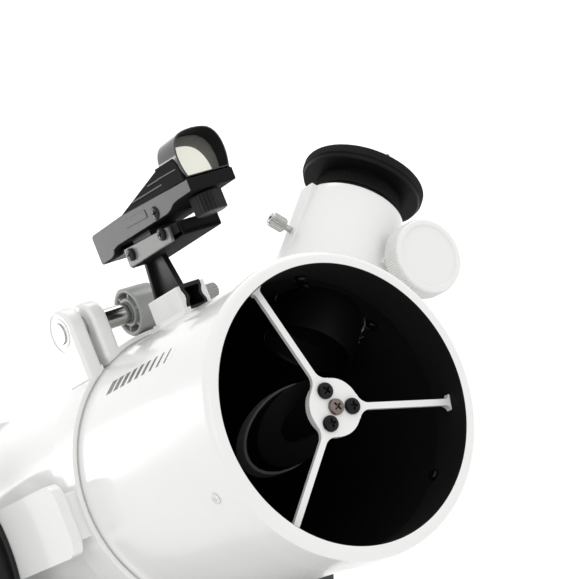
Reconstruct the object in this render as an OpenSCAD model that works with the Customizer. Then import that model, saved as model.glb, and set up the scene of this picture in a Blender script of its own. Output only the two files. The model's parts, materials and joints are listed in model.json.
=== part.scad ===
// Tabletop Newtonian reflector on a rocker (Dobsonian) base.
// Row frame: origin on the floor under the azimuth axis, +Z up, the tube points to -Y.
// Tube frame: origin at the centre of the front rim, X sideways, Y up, Z out of the opening.

/* [Optical tube] */
// Outside diameter of the rolled steel tube
tube_d = 155; // [152:0.5:158]
// Wall thickness of the steel tube
tube_wall = 1.2; // [0.8:0.1:2]
// Length from the front rim to the back of the rear ring
tube_l = 560; // [550:1:570]
// Clear diameter inside the front rim
rim_d = 142.5; // [140:0.5:146]
// Depth of the cast front and rear rings
ring_l = 30; // [26:1:34]
// Outside diameter of the cast rings
ring_d = 157.2; // [157:0.2:159]

/* [Mirrors] */
// Diameter of the main mirror
primary_d = 130; // [120:1:132]
// Thickness of the main mirror
primary_t = 18; // [14:1:20]
// Focal length of the main mirror
focal_l = 650; // [600:10:750]
// Short axis of the elliptical secondary mirror
secondary_d = 40; // [34:1:44]
// Distance from the front rim to the focuser axis
focus_z = 66; // [62:1:74]

/* [Focuser] */
// Angle of the focuser round the tube, from the sideways axis
focus_angle = 45; // [40:1:50]
// Outside radius of the drawtube
draw_r = 24.6; // [24:0.1:25]
// Inside radius of the drawtube
draw_bore_r = 22; // [20:0.5:22.5]
// Height of the top of the focuser barrel above the tube axis
barrel_top = 140; // [136:1:144]
// Radius of the focus knobs
focus_knob_r = 20.8; // [16:0.1:22]
// Height of the pinion axis above the tube axis
pinion_h = 112; // [108:1:116]
// Teeth on the pinion
pinion_teeth = 11; // [9:1:12]
// Gear module of rack and pinion
gear_module = 0.8; // [0.6:0.1:0.8]

/* [Finder] */
// Width of the red dot finder body
finder_w = 29; // [26:0.5:30]

/* [Tube clamps] */
// Distance from the rim to the middle of the front clamp
clamp_z = 158; // [156:1:170]
// Width of each clamp along the tube
clamp_w = 26; // [20:1:28]
// Thickness of each clamp band
clamp_t = 2.8; // [2.4:0.1:3]
// Thickness of the felt lining
felt_t = 0.8; // [0.6:0.1:1]

/* [Base] */
// Height of the altitude axis above the floor
axis_h = 350; // [348:1:370]
// Altitude at which the tube is stored
rest_alt = 40; // [30:1:50]
// Radius of the altitude bearing discs
alt_disc_r = 60; // [50:1:64]
// Thickness of the boards
board_t = 16; // [15:1:18]
// Radius of the ground board
ground_r = 170; // [160:1:180]
// Radius of the rotating base board
turn_r = 152; // [146:1:158]
// Height of the rubber feet
foot_h = 14; // [10:1:18]

/* [Hidden] */

$fn = 96;
eps = 0.01;
tube_r = tube_d / 2;
tube_in_r = tube_r - tube_wall;
ring_r = ring_d / 2;
rim_r = rim_d / 2;
axis_back = tube_l / 2;
lip_r = 4.2;
lip_in_r = 1;
tube_lap = 12;
skirt_l = 26;
ring_screw_angles = [-165, -45, 75];
ring_screw_z = 23;
ring_screw_r = 1.5;
ring_nut_r = 3.2;
ring_nut_h = 2.4;

vane_angles = [-15, 105, 225];
vane_z = 10.8;
vane_w = 3.5;
vane_depth = 2.5;
vane_foot_w = 8.4;
vane_foot_t = 1.6;
hub_r = 15;
hub_t = 4;
hub_screw_ring = 9.65;
hub_screw_head_r = 4.25;
hub_screw_r = 1.95;
screw_gap = 0.05;
screw_head_h = 2.6;

holder_r = 19;
mirror2_t = 6;
holder_top_z = vane_z + hub_t + 2;
neck_r = 8;

mirror_face_z = focal_l - 142;
plate_z = mirror_face_z + primary_t;
plate_t = 5;
cell_floor_z = tube_l - 15;
cell_floor_t = 6;
collimation_ring_r = 45;
collimation_angles = [-90, 30, 150];
stem_r = 2.5;
run_gap = 0.05;

pitch_r = gear_module * pinion_teeth / 2;
rack_s = draw_r + 1;
pinion_s = rack_s + pitch_r;
shaft_r = 2.5;
knob_t = 13.5;
knob_back = 31.5;
shaft_half = knob_back + knob_t - 3;
bore_gap = 0.3;
draw_low = 51;
draw_high = barrel_top + 3;
t_ring_r = 25;
t_ring_h = 8;
camera_ring_r = 34.2;
camera_ring_h = 8.5;
lock_h = 109;
lock_shank_r = 1.8;
lock_pad_x = 31.4;
focuser_screw_r = 1.5;
focuser_screw_x = 22;
focuser_screw_y = 20;
focuser_screw_seat = 71.8;
rack_l = 66;
rack_mid = 66 + rack_l / 2;
tooth_pitch = PI * gear_module;
// puts a gap between two teeth level with the pinion axis
rack_phase = pinion_h - rack_mid - tooth_pitch * (floor((pinion_h - rack_mid) / tooth_pitch) + 0.5);

shoe_back = 126;
shoe_front = 93.5;
shoe_top = 92.5;
foot_half = 6.4;
foot_waist = 5.2;
foot_low = 78.6;
shoe_wall = 2.6;
shoe_screw_h = 85.8;
shoe_screw_z = 103;
finder_pivot_z = 113;
finder_clamp_z = 77;
finder_pivot_h = 119;
finder_screw_r = 1.7;
wheel_z = 48;
hood_back = 56;
hood_l = 19;
hood_mid = 148;

lug_gap_x = -36;
lug_gap = 4.5;
clamp_in_r = tube_r + felt_t;
clamp_out_r = clamp_in_r + clamp_t;
clamp_zs = [clamp_z, tube_l - clamp_z];
clamp_split = 90 + asin(-lug_gap_x / (clamp_in_r + clamp_t / 2));
lug_t = 10;
clamp_bolt_h = 95.5;
clamp_bolt_r = 6;
clamp_knob_r = 14;
hinge_out = 4;

bar_in_x = 88;
bar_t = 6;
flange_t = 3;
board_in_x = bar_in_x + bar_t + flange_t + 1;
board_out_x = board_in_x + board_t;
pad_t = 3;
pad_gap = 0.3;
glide_t = 3;
ground_top = foot_h + board_t;
turn_z = ground_top + glide_t + 0.2;
turn_top = turn_z + board_t;
front_y = -86;
side_back_y = 84;

white = "#f2f2ef";
black = "#161616";
steel = "#c9c9c9";
grey = "#8d8f8c";
dark = "#2c2c2d";

// ---------- frames ----------

module tube_frame() {
  translate([0, 0, axis_h]) rotate([90 - rest_alt, 0, 0]) translate([0, 0, axis_back]) children();
}

// X across the focuser, Y towards the back of the tube, Z out along the drawtube
module focus_frame() {
  tube_frame() translate([0, 0, -focus_z]) rotate([-90, 0, focus_angle - 90]) children();
}

// a disc or rod along X from x0 to x1
module rod_x(x0, x1, r) {
  translate([x0, 0, 0]) rotate([0, 90, 0]) cylinder(h = x1 - x0, r = r);
}

// a rod along Y from y0 to y1
module rod_y(y0, y1, r) {
  translate([0, y1, 0]) rotate([90, 0, 0]) cylinder(h = y1 - y0, r = r);
}

module rod_z(z0, z1, r) {
  translate([0, 0, z0]) cylinder(h = z1 - z0, r = r);
}

function arc_points(cx, cy, r, a0, a1, n) =
  [for (i = [0 : n]) let (a = a0 + (a1 - a0) * i / n) [cx + r * cos(a), cy + r * sin(a)]];

// pan head with a cross slot, top at z = 0, shank downwards
module pan_screw(head_r, head_h, shank_r, shank_l) {
  difference() {
    union() {
      rod_z(-head_h, 0, head_r);
      rod_z(-head_h - shank_l, -head_h + eps, shank_r);
    }
    for (a = [0, 90])
      rotate([0, 0, a]) translate([-head_r * 0.6, -0.5, -head_h * 0.55])
        cube([head_r * 1.2, 1, head_h]);
  }
}

// round knob along Z with grip ribs, from z = 0 to h
module ribbed_knob(r, h, ribs, rib_r) {
  union() {
    cylinder(h = h, r = r);
    for (i = [0 : ribs - 1])
      rotate([0, 0, 360 * i / ribs]) translate([r, 0, 1]) cylinder(h = h - 2, r = rib_r, $fn = 16);
  }
}

// ---------- optical tube ----------

// cross-section of a cast end ring, rim at y = 0, depth downwards
module end_ring_profile() {
  polygon(concat(
    [[rim_r, -skirt_l]],
    arc_points(rim_r + lip_in_r, -lip_in_r, lip_in_r, 180, 90, 4),
    arc_points(ring_r - lip_r, -lip_r, lip_r, 90, 0, 6),
    [[ring_r, -ring_l], [tube_r, -ring_l], [tube_r, -tube_lap], [tube_in_r, -tube_lap],
     [tube_in_r, -skirt_l]]
  ));
}

module main_tube() {
  color(white) tube_frame() difference() {
    rod_z(-tube_l + tube_lap, -tube_lap, tube_r);
    rod_z(-tube_l, 0, tube_in_r);
    translate([0, 0, -focus_z]) rotate([-90, 0, focus_angle - 90]) {
      rod_z(tube_r / 2, tube_r + 5, draw_r + 2.5);
      focuser_screw_places() rod_z(40, 90, focuser_screw_r + screw_gap);
    }
    for (a = ring_screw_angles, z = [ring_screw_z, tube_l - ring_screw_z])
      rotate([0, 0, a]) translate([0, 0, -z]) rod_x(tube_r - 5, tube_r + 5, ring_screw_r + screw_gap);
  }
}

module front_ring() {
  color(white) tube_frame() difference() {
    rotate_extrude() end_ring_profile();
    for (a = ring_screw_angles) rotate([0, 0, a]) translate([0, 0, -ring_screw_z])
      rod_x(rim_r - 5, ring_r + 5, ring_screw_r + screw_gap);
  }
}

module ring_screws() {
  color(steel) tube_frame() for (end = [0, 1]) translate([0, 0, -end * tube_l])
    mirror([0, 0, end]) for (a = ring_screw_angles) rotate([0, 0, a])
      translate([ring_r + 0.9, 0, -ring_screw_z]) rotate([0, 90, 0])
        union() {
          pan_screw(2.9, 0.9, ring_screw_r, ring_r - rim_r + 1);
          translate([0, 0, rim_r - ring_r - 1 - ring_nut_h]) cylinder(h = ring_nut_h, r = ring_nut_r);
        }
}

// one vane with its foot on the wall and the curved gusset at the hub
module vane() {
  translate([hub_r - 4, -vane_w / 2, -vane_depth])
    cube([rim_r - hub_r + 4 - vane_foot_t / 2, vane_w, vane_depth]);
  translate([rim_r - vane_foot_t - 0.4, -vane_foot_w / 2, -vane_depth - 1.5])
    cube([vane_foot_t, vane_foot_w, vane_depth + 1.5]);
  gusset = 7;
  translate([0, 0, -vane_depth]) linear_extrude(vane_depth) for (s = [-1, 1])
    polygon(concat([[hub_r - 5, 0]], arc_points(hub_r + 5.5, s * (vane_w / 2 + gusset), gusset,
      s * 190, s * 270, 6), [[hub_r + 5, 0]]));
}

module spider() {
  color(white) tube_frame() translate([0, 0, -vane_z]) difference() {
    union() {
      rod_z(-hub_t, 0, hub_r);
      for (a = vane_angles) rotate([0, 0, a]) vane();
    }
    rod_z(-hub_t - 1, 1, hub_screw_r + screw_gap);
    for (a = vane_angles) rotate([0, 0, a]) translate([hub_screw_ring, 0, 0])
      rod_z(-hub_t - 1, 1, hub_screw_r + screw_gap);
  }
}

module secondary_center_screw() {
  color("#a99a86") tube_frame() translate([0, 0, -vane_z + screw_head_h])
    pan_screw(hub_screw_head_r, screw_head_h, hub_screw_r, hub_t + 8);
}

module secondary_screws() {
  color(black) tube_frame() for (a = vane_angles) rotate([0, 0, a])
    translate([hub_screw_ring, 0, -vane_z + screw_head_h])
      pan_screw(hub_screw_head_r, screw_head_h, hub_screw_r, hub_t + 1.9);
}

// cuts everything on the mirror's side of the 45 degree plane, moved back by shift
module secondary_plane(shift) {
  rotate([0, 0, focus_angle]) rotate([0, -45, 0]) translate([-100, -100, -200 - shift])
    cube(200);
}

// round neck that runs into an elliptical back plate on the mirror
module secondary_holder() {
  plate2_t = 8;
  color(black) tube_frame() difference() {
    union() {
      translate([0, 0, -focus_z]) difference() {
        rod_z(0, focus_z - holder_top_z, neck_r);
        secondary_plane(-mirror2_t);
      }
      translate([0, 0, -focus_z]) intersection() {
        difference() {
          rod_z(-40, 40, holder_r);
          secondary_plane(-mirror2_t);
        }
        secondary_plane(-mirror2_t - plate2_t);
      }
    }
    rod_z(-holder_top_z - 7, 0, hub_screw_r + run_gap);
  }
}

module secondary_mirror() {
  color("#dfe6ea") tube_frame() translate([0, 0, -focus_z]) intersection() {
    difference() {
      rod_z(-50, 50, secondary_d / 2);
      secondary_plane(0);
    }
    secondary_plane(-mirror2_t);
  }
}

module rear_cell() {
  color(black) tube_frame() difference() {
    union() {
      translate([0, 0, -tube_l]) mirror([0, 0, 1]) rotate_extrude() end_ring_profile();
      rod_z(-cell_floor_z - cell_floor_t, -cell_floor_z, 20);
      for (a = collimation_angles) rotate([0, 0, a])
        translate([0, -9, -cell_floor_z - cell_floor_t]) cube([rim_r + 1, 18, cell_floor_t]);
      for (a = collimation_angles) rotate([0, 0, a + 60])
        translate([0, -6, -cell_floor_z - cell_floor_t]) cube([rim_r + 1, 12, cell_floor_t]);
    }
    for (a = collimation_angles) {
      rotate([0, 0, a]) translate([collimation_ring_r, 0, 0])
        rod_z(-tube_l, -cell_floor_z + 2, stem_r + run_gap);
      rotate([0, 0, a + 60]) translate([collimation_ring_r, 0, 0])
        rod_z(-tube_l, -cell_floor_z + 2, 2 + screw_gap);
    }
    for (a = ring_screw_angles) rotate([0, 0, a]) translate([0, 0, -tube_l + ring_screw_z])
      rod_x(rim_r - 5, ring_r + 5, ring_screw_r + screw_gap);
  }
}

module mirror_plate() {
  color("#3a3a3a") tube_frame() difference() {
    rod_z(-plate_z - plate_t, -plate_z, primary_d / 2 - 3);
    for (a = collimation_angles) rotate([0, 0, a]) translate([collimation_ring_r, 0, 0])
      rod_z(-plate_z - plate_t - 1, -plate_z + 1, stem_r + run_gap);
    rod_z(-plate_z - plate_t - 1, -plate_z + 1, 12);
  }
}

module primary_mirror() {
  bowl = [for (i = [0 : 12]) let (x = primary_d / 2 * (1 - i / 12))
    [x, -mirror_face_z + x * x / (4 * focal_l) - pow(primary_d / 2, 2) / (4 * focal_l)]];
  color("#cfd8dd") tube_frame() rotate_extrude() polygon(concat(
    [[0, -plate_z], [primary_d / 2, -plate_z]], bowl));
}

module mirror_clips() {
  clip_w = 12;
  color(black) tube_frame() for (a = collimation_angles) rotate([0, 0, a + 60]) {
    translate([primary_d / 2, -clip_w / 2, -plate_z - plate_t])
      cube([2.5, clip_w, primary_t + plate_t + 2]);
    translate([primary_d / 2 - 4, -clip_w / 2, -mirror_face_z])
      cube([6.5, clip_w, 2]);
    translate([primary_d / 2 - 3, -clip_w / 2, -plate_z - plate_t])
      cube([4, clip_w, plate_t]);
  }
}

module collimation_springs() {
  color(steel) tube_frame() for (a = collimation_angles) rotate([0, 0, a])
    translate([collimation_ring_r, 0, 0]) difference() {
      rod_z(-cell_floor_z, -plate_z - plate_t, 5.5);
      rod_z(-cell_floor_z - 1, -plate_z - plate_t + 1, 4.3);
    }
}

module cell_lock_screws() {
  color(black) tube_frame() for (a = collimation_angles) rotate([0, 0, a + 60])
    translate([collimation_ring_r, 0, 0]) {
      rod_z(-cell_floor_z - cell_floor_t - 3, -cell_floor_z - cell_floor_t, 4);
      rod_z(-cell_floor_z - cell_floor_t - 1, -plate_z - plate_t, 2);
    }
}

module collimation_knob(i) {
  back = cell_floor_z + cell_floor_t;
  color(black) tube_frame() rotate([0, 0, collimation_angles[i]])
    translate([collimation_ring_r, 0, 0]) {
      rod_z(-back - 4, -plate_z - 0.5, stem_r);
      translate([0, 0, -back - 14]) ribbed_knob(8.5, 13.7, 12, 0.9);
    }
}

// ---------- focuser ----------

// the four screws that hold the focuser, put in from inside the tube
module focuser_screw_places() {
  for (x = [-1, 1], y = [-1, 1]) translate([x * focuser_screw_x, y * focuser_screw_y, 0]) children();
}

// half outline of the flared barrel
module barrel_profile() {
  polygon(concat(
    [[0, 50], [43, 50], [43, 76]],
    arc_points(48, 93, 16, 250, 186, 7),
    [[28.6, barrel_top - 4], [27.2, barrel_top], [0, barrel_top]]));
}

module focuser_housing() {
  color(white) difference() {
    focus_frame() difference() {
      union() {
        rotate_extrude() barrel_profile();
        translate([-lock_pad_x, -6, 78]) cube([lock_pad_x - draw_r, 12, barrel_top - 1.5 - 78]);
        translate([pinion_s, 0, pinion_h]) rod_y(-knob_back + 1, knob_back - 1, 9.5);
        translate([12, -knob_back + 1, pinion_h - 9.5])
          cube([pinion_s - 12, 2 * knob_back - 2, 19]);
      }
      rod_z(0, barrel_top + 1, draw_r + bore_gap);
      translate([15, -5.2, 0]) cube([rack_s + 1.6 - 15, 10.4, barrel_top + 1]);
      translate([pinion_s, 0, pinion_h]) rod_y(-knob_back, knob_back, shaft_r + run_gap);
      translate([pinion_s, 0, pinion_h]) rod_y(-7.5, 7.5, pitch_r + 1.4);
      translate([0, 0, lock_h]) rod_x(-40, -10, lock_shank_r + run_gap);
      focuser_screw_places() rod_z(40, focuser_screw_seat + 10, focuser_screw_r + screw_gap);
    }
    tube_frame() rod_z(-tube_l, 0, tube_r);
    tube_frame() rod_z(-ring_l - 1, 0, ring_r + 0.1);
  }
}

module focuser_fasteners() {
  color(black) focus_frame() focuser_screw_places() translate([0, 0, focuser_screw_seat - 2.2])
    mirror([0, 0, 1]) pan_screw(3.2, 2.2, focuser_screw_r, 9);
}

// rack tooth outline along its length, tips at +X
module rack_teeth(count) {
  tip = 0.75 * gear_module;
  root = 0.9 * gear_module;
  for (i = [0 : count - 1]) translate([0, (i - (count - 1) / 2) * tooth_pitch])
    polygon([[-root - 0.1, -0.34 * tooth_pitch], [tip, -0.1 * tooth_pitch],
      [tip, 0.1 * tooth_pitch], [-root - 0.1, 0.34 * tooth_pitch]]);
}

module drawtube() {
  color(black) focus_frame() difference() {
    rod_z(draw_low, draw_high, draw_r);
    rod_z(draw_low - 1, draw_high + 1, draw_bore_r);
    translate([rack_s - 2.2, -4.2, draw_low - 1]) cube([10, 8.4, draw_high - draw_low + 2]);
  }
}

module focuser_rack() {
  bar_back = 2.2;
  color("#b9b9b4") focus_frame() translate([rack_s, 4, rack_mid]) rotate([90, 0, 0])
    linear_extrude(8) union() {
      translate([-bar_back, -rack_l / 2]) square([bar_back - gear_module * 0.9, rack_l]);
      translate([0, rack_phase]) rack_teeth(25);
    }
}

module pinion_shaft() {
  pitch_deg = 360 / pinion_teeth;
  color(steel) focus_frame() translate([pinion_s, 0, pinion_h]) {
    rod_y(-shaft_half, shaft_half, shaft_r);
    translate([0, 6, 0]) rotate([90, 0, 0]) linear_extrude(12) union() {
      circle(r = pitch_r - gear_module);
      for (i = [0 : pinion_teeth - 1]) rotate(180 + i * pitch_deg) polygon([
        [pitch_r - 1.3 * gear_module, -0.75], [pitch_r, -0.42], [pitch_r + 0.8 * gear_module, -0.18],
        [pitch_r + 0.8 * gear_module, 0.18], [pitch_r, 0.42], [pitch_r - 1.3 * gear_module, 0.75]]);
    }
  }
}

module focus_knob() {
  difference() {
    ribbed_knob(focus_knob_r - 0.5, knob_t, 60, 0.6);
    translate([0, 0, knob_t - 1.2]) cylinder(h = 5, r = focus_knob_r * 0.68);
    translate([0, 0, -1]) cylinder(h = knob_t - 2, r = shaft_r);
  }
}

module focus_knob_front() {
  color(white) focus_frame() translate([pinion_s, -knob_back, pinion_h]) rotate([90, 0, 0])
    focus_knob();
}

module focus_knob_rear() {
  color(white) focus_frame() translate([pinion_s, knob_back, pinion_h]) rotate([-90, 0, 0])
    focus_knob();
}

module focuser_lock_screw() {
  color(steel) focus_frame() translate([0, 0, lock_h]) {
    rod_x(-38, -draw_r - bore_gap - 0.2, lock_shank_r);
    translate([-35.5, 0, 0]) rotate([0, -90, 0]) ribbed_knob(3.8, 9.5, 20, 0.4);
  }
}

module t_adapter_ring() {
  color(black) focus_frame() difference() {
    union() {
      rod_z(draw_high, draw_high + t_ring_h, t_ring_r);
      rod_z(draw_high + t_ring_h - eps, draw_high + t_ring_h + 2, 23);
    }
    rod_z(draw_high - 1, draw_high + t_ring_h + 3, 20);
  }
}

module camera_ring() {
  base = draw_high + t_ring_h + 2;
  color(black) focus_frame() difference() {
    union() {
      rod_z(base, base + camera_ring_h - 1, camera_ring_r);
      rod_z(base, base + camera_ring_h, camera_ring_r - 1);
      rod_z(base + camera_ring_h - eps, base + camera_ring_h + 2.5, 27);
    }
    rod_z(base - 1, base + camera_ring_h + 4, 21);
  }
}

// ---------- finder ----------

module finder_shoe() {
  wall_out = foot_half + 0.3 + shoe_wall;
  color(white) tube_frame() difference() {
    union() {
      translate([-wall_out, tube_r - 5, -shoe_back])
        cube([2 * wall_out, shoe_top - tube_r + 5, shoe_back - shoe_front]);
      translate([0, tube_r + 1, -shoe_back - 3]) linear_extrude(shoe_back - shoe_front + 6)
        polygon([[-17, -6], [-9.2, 2], [9.2, 2], [17, -6]]);
    }
    translate([0, 0, -shoe_back - 5]) linear_extrude(60) shoe_slot(0.3);
    translate([0, shoe_screw_h, -shoe_screw_z]) rod_x(foot_waist, wall_out + 1, 2 + run_gap);
    rod_z(-tube_l, 0, tube_r);
  }
}

// outline of the dovetail foot: wide base, narrow waist, wide top
module shoe_slot(gap) {
  wide = foot_half + gap;
  narrow = foot_waist + gap;
  top = shoe_top + 2;
  polygon([[-wide, foot_low - gap], [wide, foot_low - gap], [wide, 82], [narrow, 85], [narrow, 87],
    [wide, 90], [wide, top], [-wide, top], [-wide, 90], [-narrow, 87], [-narrow, 85], [-wide, 82]]);
}

module shoe_thumbscrew() {
  wall_out = foot_half + 0.3 + shoe_wall;
  color(grey) tube_frame() translate([0, shoe_screw_h, -shoe_screw_z]) {
    rod_x(foot_half + 0.4, wall_out + 5, 2);
    translate([wall_out + 3.2, 0, 0]) rotate([0, 90, 0]) ribbed_knob(4, 7.5, 16, 0.4);
  }
}

// dovetail foot, tapering stem and the cradle that holds the finder
module finder_bracket() {
  rib_t = 2.5;
  wall = 2.5;
  color(dark) tube_frame() difference() {
    union() {
      translate([0, 0, -shoe_back]) linear_extrude(shoe_back - shoe_front + 0.5)
        intersection() {
          shoe_slot(0);
          translate([-foot_half, 77]) square([2 * foot_half, shoe_top - 77 + 0.5]);
        }
      translate([1.2, 0, 0]) rotate([0, -90, 0]) linear_extrude(2.4)
        polygon([[-126, 91.5], [-101, 91.5], [-106.5, 114], [-122, 114]]);
      translate([4.5, 0, 0]) rotate([0, -90, 0]) linear_extrude(9)
        polygon([[-126, 91.5], [-126 + rib_t, 91.5], [-122 + rib_t, 114], [-122, 114]]);
      translate([-12.5, 113, -122]) cube([25, 3, 60]);
      for (x = [-12.5, 12.5 - wall]) translate([x, 113, -122]) cube([wall, 11.5, 60]);
      translate([-12.5, 113, -64.5]) cube([25, 8, wall]);
    }
    translate([0, 0, -shoe_back - 3]) linear_extrude(40)
      polygon([[-4.6, 80.4], [4.6, 80.4], [4.6, 82.4], [3.4, 85.2], [3.4, 86.8], [4.6, 89.4],
        [4.6, 90.6], [-4.6, 90.6], [-4.6, 89.4], [-3.4, 86.8], [-3.4, 85.2], [-4.6, 82.4]]);
    for (z = [finder_pivot_z, finder_clamp_z]) translate([0, finder_pivot_h, -z])
      rod_x(-14, 14, finder_screw_r + run_gap);
  }
}

module finder_side_plate() {
  color(grey) tube_frame() difference() {
    translate([-14.6, 114, -120]) cube([2.1, 10, 49]);
    for (z = [finder_pivot_z, finder_clamp_z]) translate([0, finder_pivot_h, -z])
      rod_x(-16, -10, finder_screw_r + run_gap);
  }
}

module finder_screws() {
  color(black) tube_frame() for (z = [finder_pivot_z, finder_clamp_z])
    translate([-16.4, finder_pivot_h, -z]) rotate([0, -90, 0])
      pan_screw(3.3, 1.8, finder_screw_r, 27);
}

// tongue between the cradle walls, then the sloping body above it
module finder_body() {
  half = finder_w / 2;
  color(dark) tube_frame() difference() {
    union() {
      translate([half, 0, 0]) rotate([0, -90, 0]) linear_extrude(finder_w)
        polygon([[-147, 123], [-126, 124.5], [-122, 127.5], [-60, 129.5], [-37, 129.2], [-37, 137],
          [-60, 137], [-62, 150], [-114, 140.5], [-147, 140.5]]);
      translate([-9, 118, -117]) cube([18, 12, 20]);
    }
    translate([-10, 121, -146.2]) cube([20, 16, 20]);
    translate([0, finder_pivot_h, -finder_pivot_z]) rod_x(-10, 10, finder_screw_r + run_gap);
    translate([0, 129, -wheel_z]) rotate([90, 0, 0]) translate([0, 0, -6])
      cylinder(h = 8, r = 2.5 + run_gap);
    translate([0, 144, -68.5]) cylinder(h = 10, r = 1.6);
  }
}

// rounded arch of the hood, scaled by k about its middle
module hood_outline(k) {
  side = [[13.4, 137], [14.6, 141.4], [15.2, 146], [15, 151.5], [13.4, 156.5], [10.2, 160], [5.4, 161.4]];
  half = [for (p = side) [p[0] * k, hood_mid + (p[1] - hood_mid) * k]];
  polygon(concat(half, [for (i = [6 : -1 : 0]) [-half[i][0], half[i][1]]]));
}

module finder_hood() {
  color(black) tube_frame() difference() {
    translate([0, 0, -hood_back]) linear_extrude(hood_l) hood_outline(1);
    translate([0, 0, -hood_back - 4]) linear_extrude(hood_l + 8) hood_outline(0.9);
  }
}

module finder_window() {
  color("#b9c4ae") tube_frame() intersection() {
    translate([0, 0, -hood_back - 4]) linear_extrude(40) hood_outline(0.9);
    translate([-20, 138, -46.5]) rotate([-8, 0, 0]) cube([40, 30, 1.6]);
  }
}

module finder_led() {
  color("#702018") tube_frame() translate([0, 144, -62]) rod_z(-6, 2.5, 1.5);
}

module finder_battery() {
  color(steel) tube_frame() translate([0, 129, -136]) rotate([-90, 0, 0])
    cylinder(h = 3.2, r = 9.5);
}

module battery_cover() {
  color(dark) tube_frame() translate([-9.8, 123.3, -146]) difference() {
    cube([19.6, 2.5, 19.5]);
    translate([4, -1, 2]) cube([11.6, 1.6, 1.4]);
  }
}

module brightness_wheel() {
  color(black) tube_frame() translate([0, 128.6, -wheel_z]) rotate([90, 0, 0]) {
    ribbed_knob(8.3, 11, 24, 0.5);
    translate([0, 0, -5]) cylinder(h = 6, r = 2.5);
  }
}

// ---------- clamps and altitude bearings ----------

// one half of a clamp band, side = -1 left or 1 right of the split
module clamp_half(z, side) {
  split_x = lug_gap_x + side * lug_gap / 2;
  lug_x = side < 0 ? split_x - lug_t : split_x;
  lug_foot = 68;
  knuckle = clamp_w / 3;
  knuckle_inset = 0.6;
  hinge_r = clamp_out_r + hinge_out;
  hinge_a = clamp_split + 180;
  translate([0, 0, -z - clamp_w / 2]) difference() {
    union() {
      intersection() {
        cylinder(h = clamp_w, r = clamp_out_r, $fn = 160);
        rotate([0, 0, clamp_split]) translate([-200, side < 0 ? 0 : -200, -1])
          cube([400, 200, clamp_w + 2]);
      }
      translate([lug_x, lug_foot, 0]) cube([lug_t, clamp_bolt_h - lug_foot, clamp_w]);
      translate([0, clamp_bolt_h, clamp_w / 2]) rod_x(lug_x, lug_x + lug_t, clamp_w / 2);
      rotate([0, 0, hinge_a]) translate([hinge_r, 0, side < 0 ? knuckle_inset : knuckle])
        cylinder(h = side < 0 ? clamp_w - 2 * knuckle_inset : knuckle, r = 5);
    }
    translate([0, 0, -1]) cylinder(h = clamp_w + 2, r = clamp_in_r, $fn = 160);
    translate([side < 0 ? split_x : split_x - 30, 60, -1]) cube([30, 60, clamp_w + 2]);
    rotate([0, 0, hinge_a]) {
      if (side < 0) translate([clamp_out_r - 1.4, -9, knuckle - 0.2])
        cube([16, 18, knuckle + 0.4]);
      if (side > 0) for (zz = [-1, 2 * knuckle]) translate([clamp_in_r - 2, 0.2, zz])
        cube([20, 6, knuckle + 1]);
      if (side > 0) for (zz = [-1, 2 * knuckle]) translate([clamp_out_r - 1.4, -5.4, zz])
        cube([20, 12, knuckle + 1]);
      translate([hinge_r, 0, -1]) cylinder(h = clamp_w + 2, r = 2 + run_gap);
    }
    translate([0, clamp_bolt_h, clamp_w / 2]) rod_x(-60, 0, clamp_bolt_r + run_gap);
  }
}

module clamp_front_left() { color(white) tube_frame() clamp_half(clamp_zs[0], -1); }
module clamp_front_right() { color(white) tube_frame() clamp_half(clamp_zs[0], 1); }
module clamp_rear_left() { color(white) tube_frame() clamp_half(clamp_zs[1], -1); }
module clamp_rear_right() { color(white) tube_frame() clamp_half(clamp_zs[1], 1); }

module clamp_hinge_pins() {
  color(steel) tube_frame() for (z = clamp_zs) rotate([0, 0, clamp_split + 180])
    translate([clamp_out_r + hinge_out, 0, 0]) rod_z(-z - clamp_w / 2 - 1, -z + clamp_w / 2 + 1, 2);
}

module clamp_felt() {
  color(black) tube_frame() for (z = clamp_zs) difference() {
    rod_z(-z - clamp_w / 2, -z + clamp_w / 2, clamp_in_r);
    rod_z(-z - clamp_w, -z + clamp_w, tube_r);
    rotate([0, 0, clamp_split]) translate([0, -2, -z - clamp_w]) cube([200, 4, 2 * clamp_w]);
  }
}

module clamp_bolt(z) {
  color(steel) tube_frame() translate([0, clamp_bolt_h, -z])
    rod_x(lug_gap_x - lug_gap / 2 - lug_t - 1, 6, clamp_bolt_r);
}

// cup-shaped hand knob on the end of the bolt, hollow towards the clamp
module clamp_knob(z) {
  knob_x = -4;
  cup = 9;
  color(grey) tube_frame() translate([knob_x, clamp_bolt_h, -z]) rotate([0, 90, 0]) difference() {
    ribbed_knob(clamp_knob_r - 1.6, 18, 9, 1.6);
    translate([0, 0, -1]) cylinder(h = 6 - knob_x + 1, r = clamp_bolt_r);
    difference() {
      translate([0, 0, -1]) cylinder(h = cup + 1, r = clamp_knob_r - 3.2);
      translate([0, 0, -2]) cylinder(h = cup + 3, r = clamp_bolt_r + 2);
      for (a = [0 : 60 : 300]) rotate([0, 0, a]) translate([0, -0.7, 1]) cube([20, 1.4, cup]);
    }
  }
}

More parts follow.
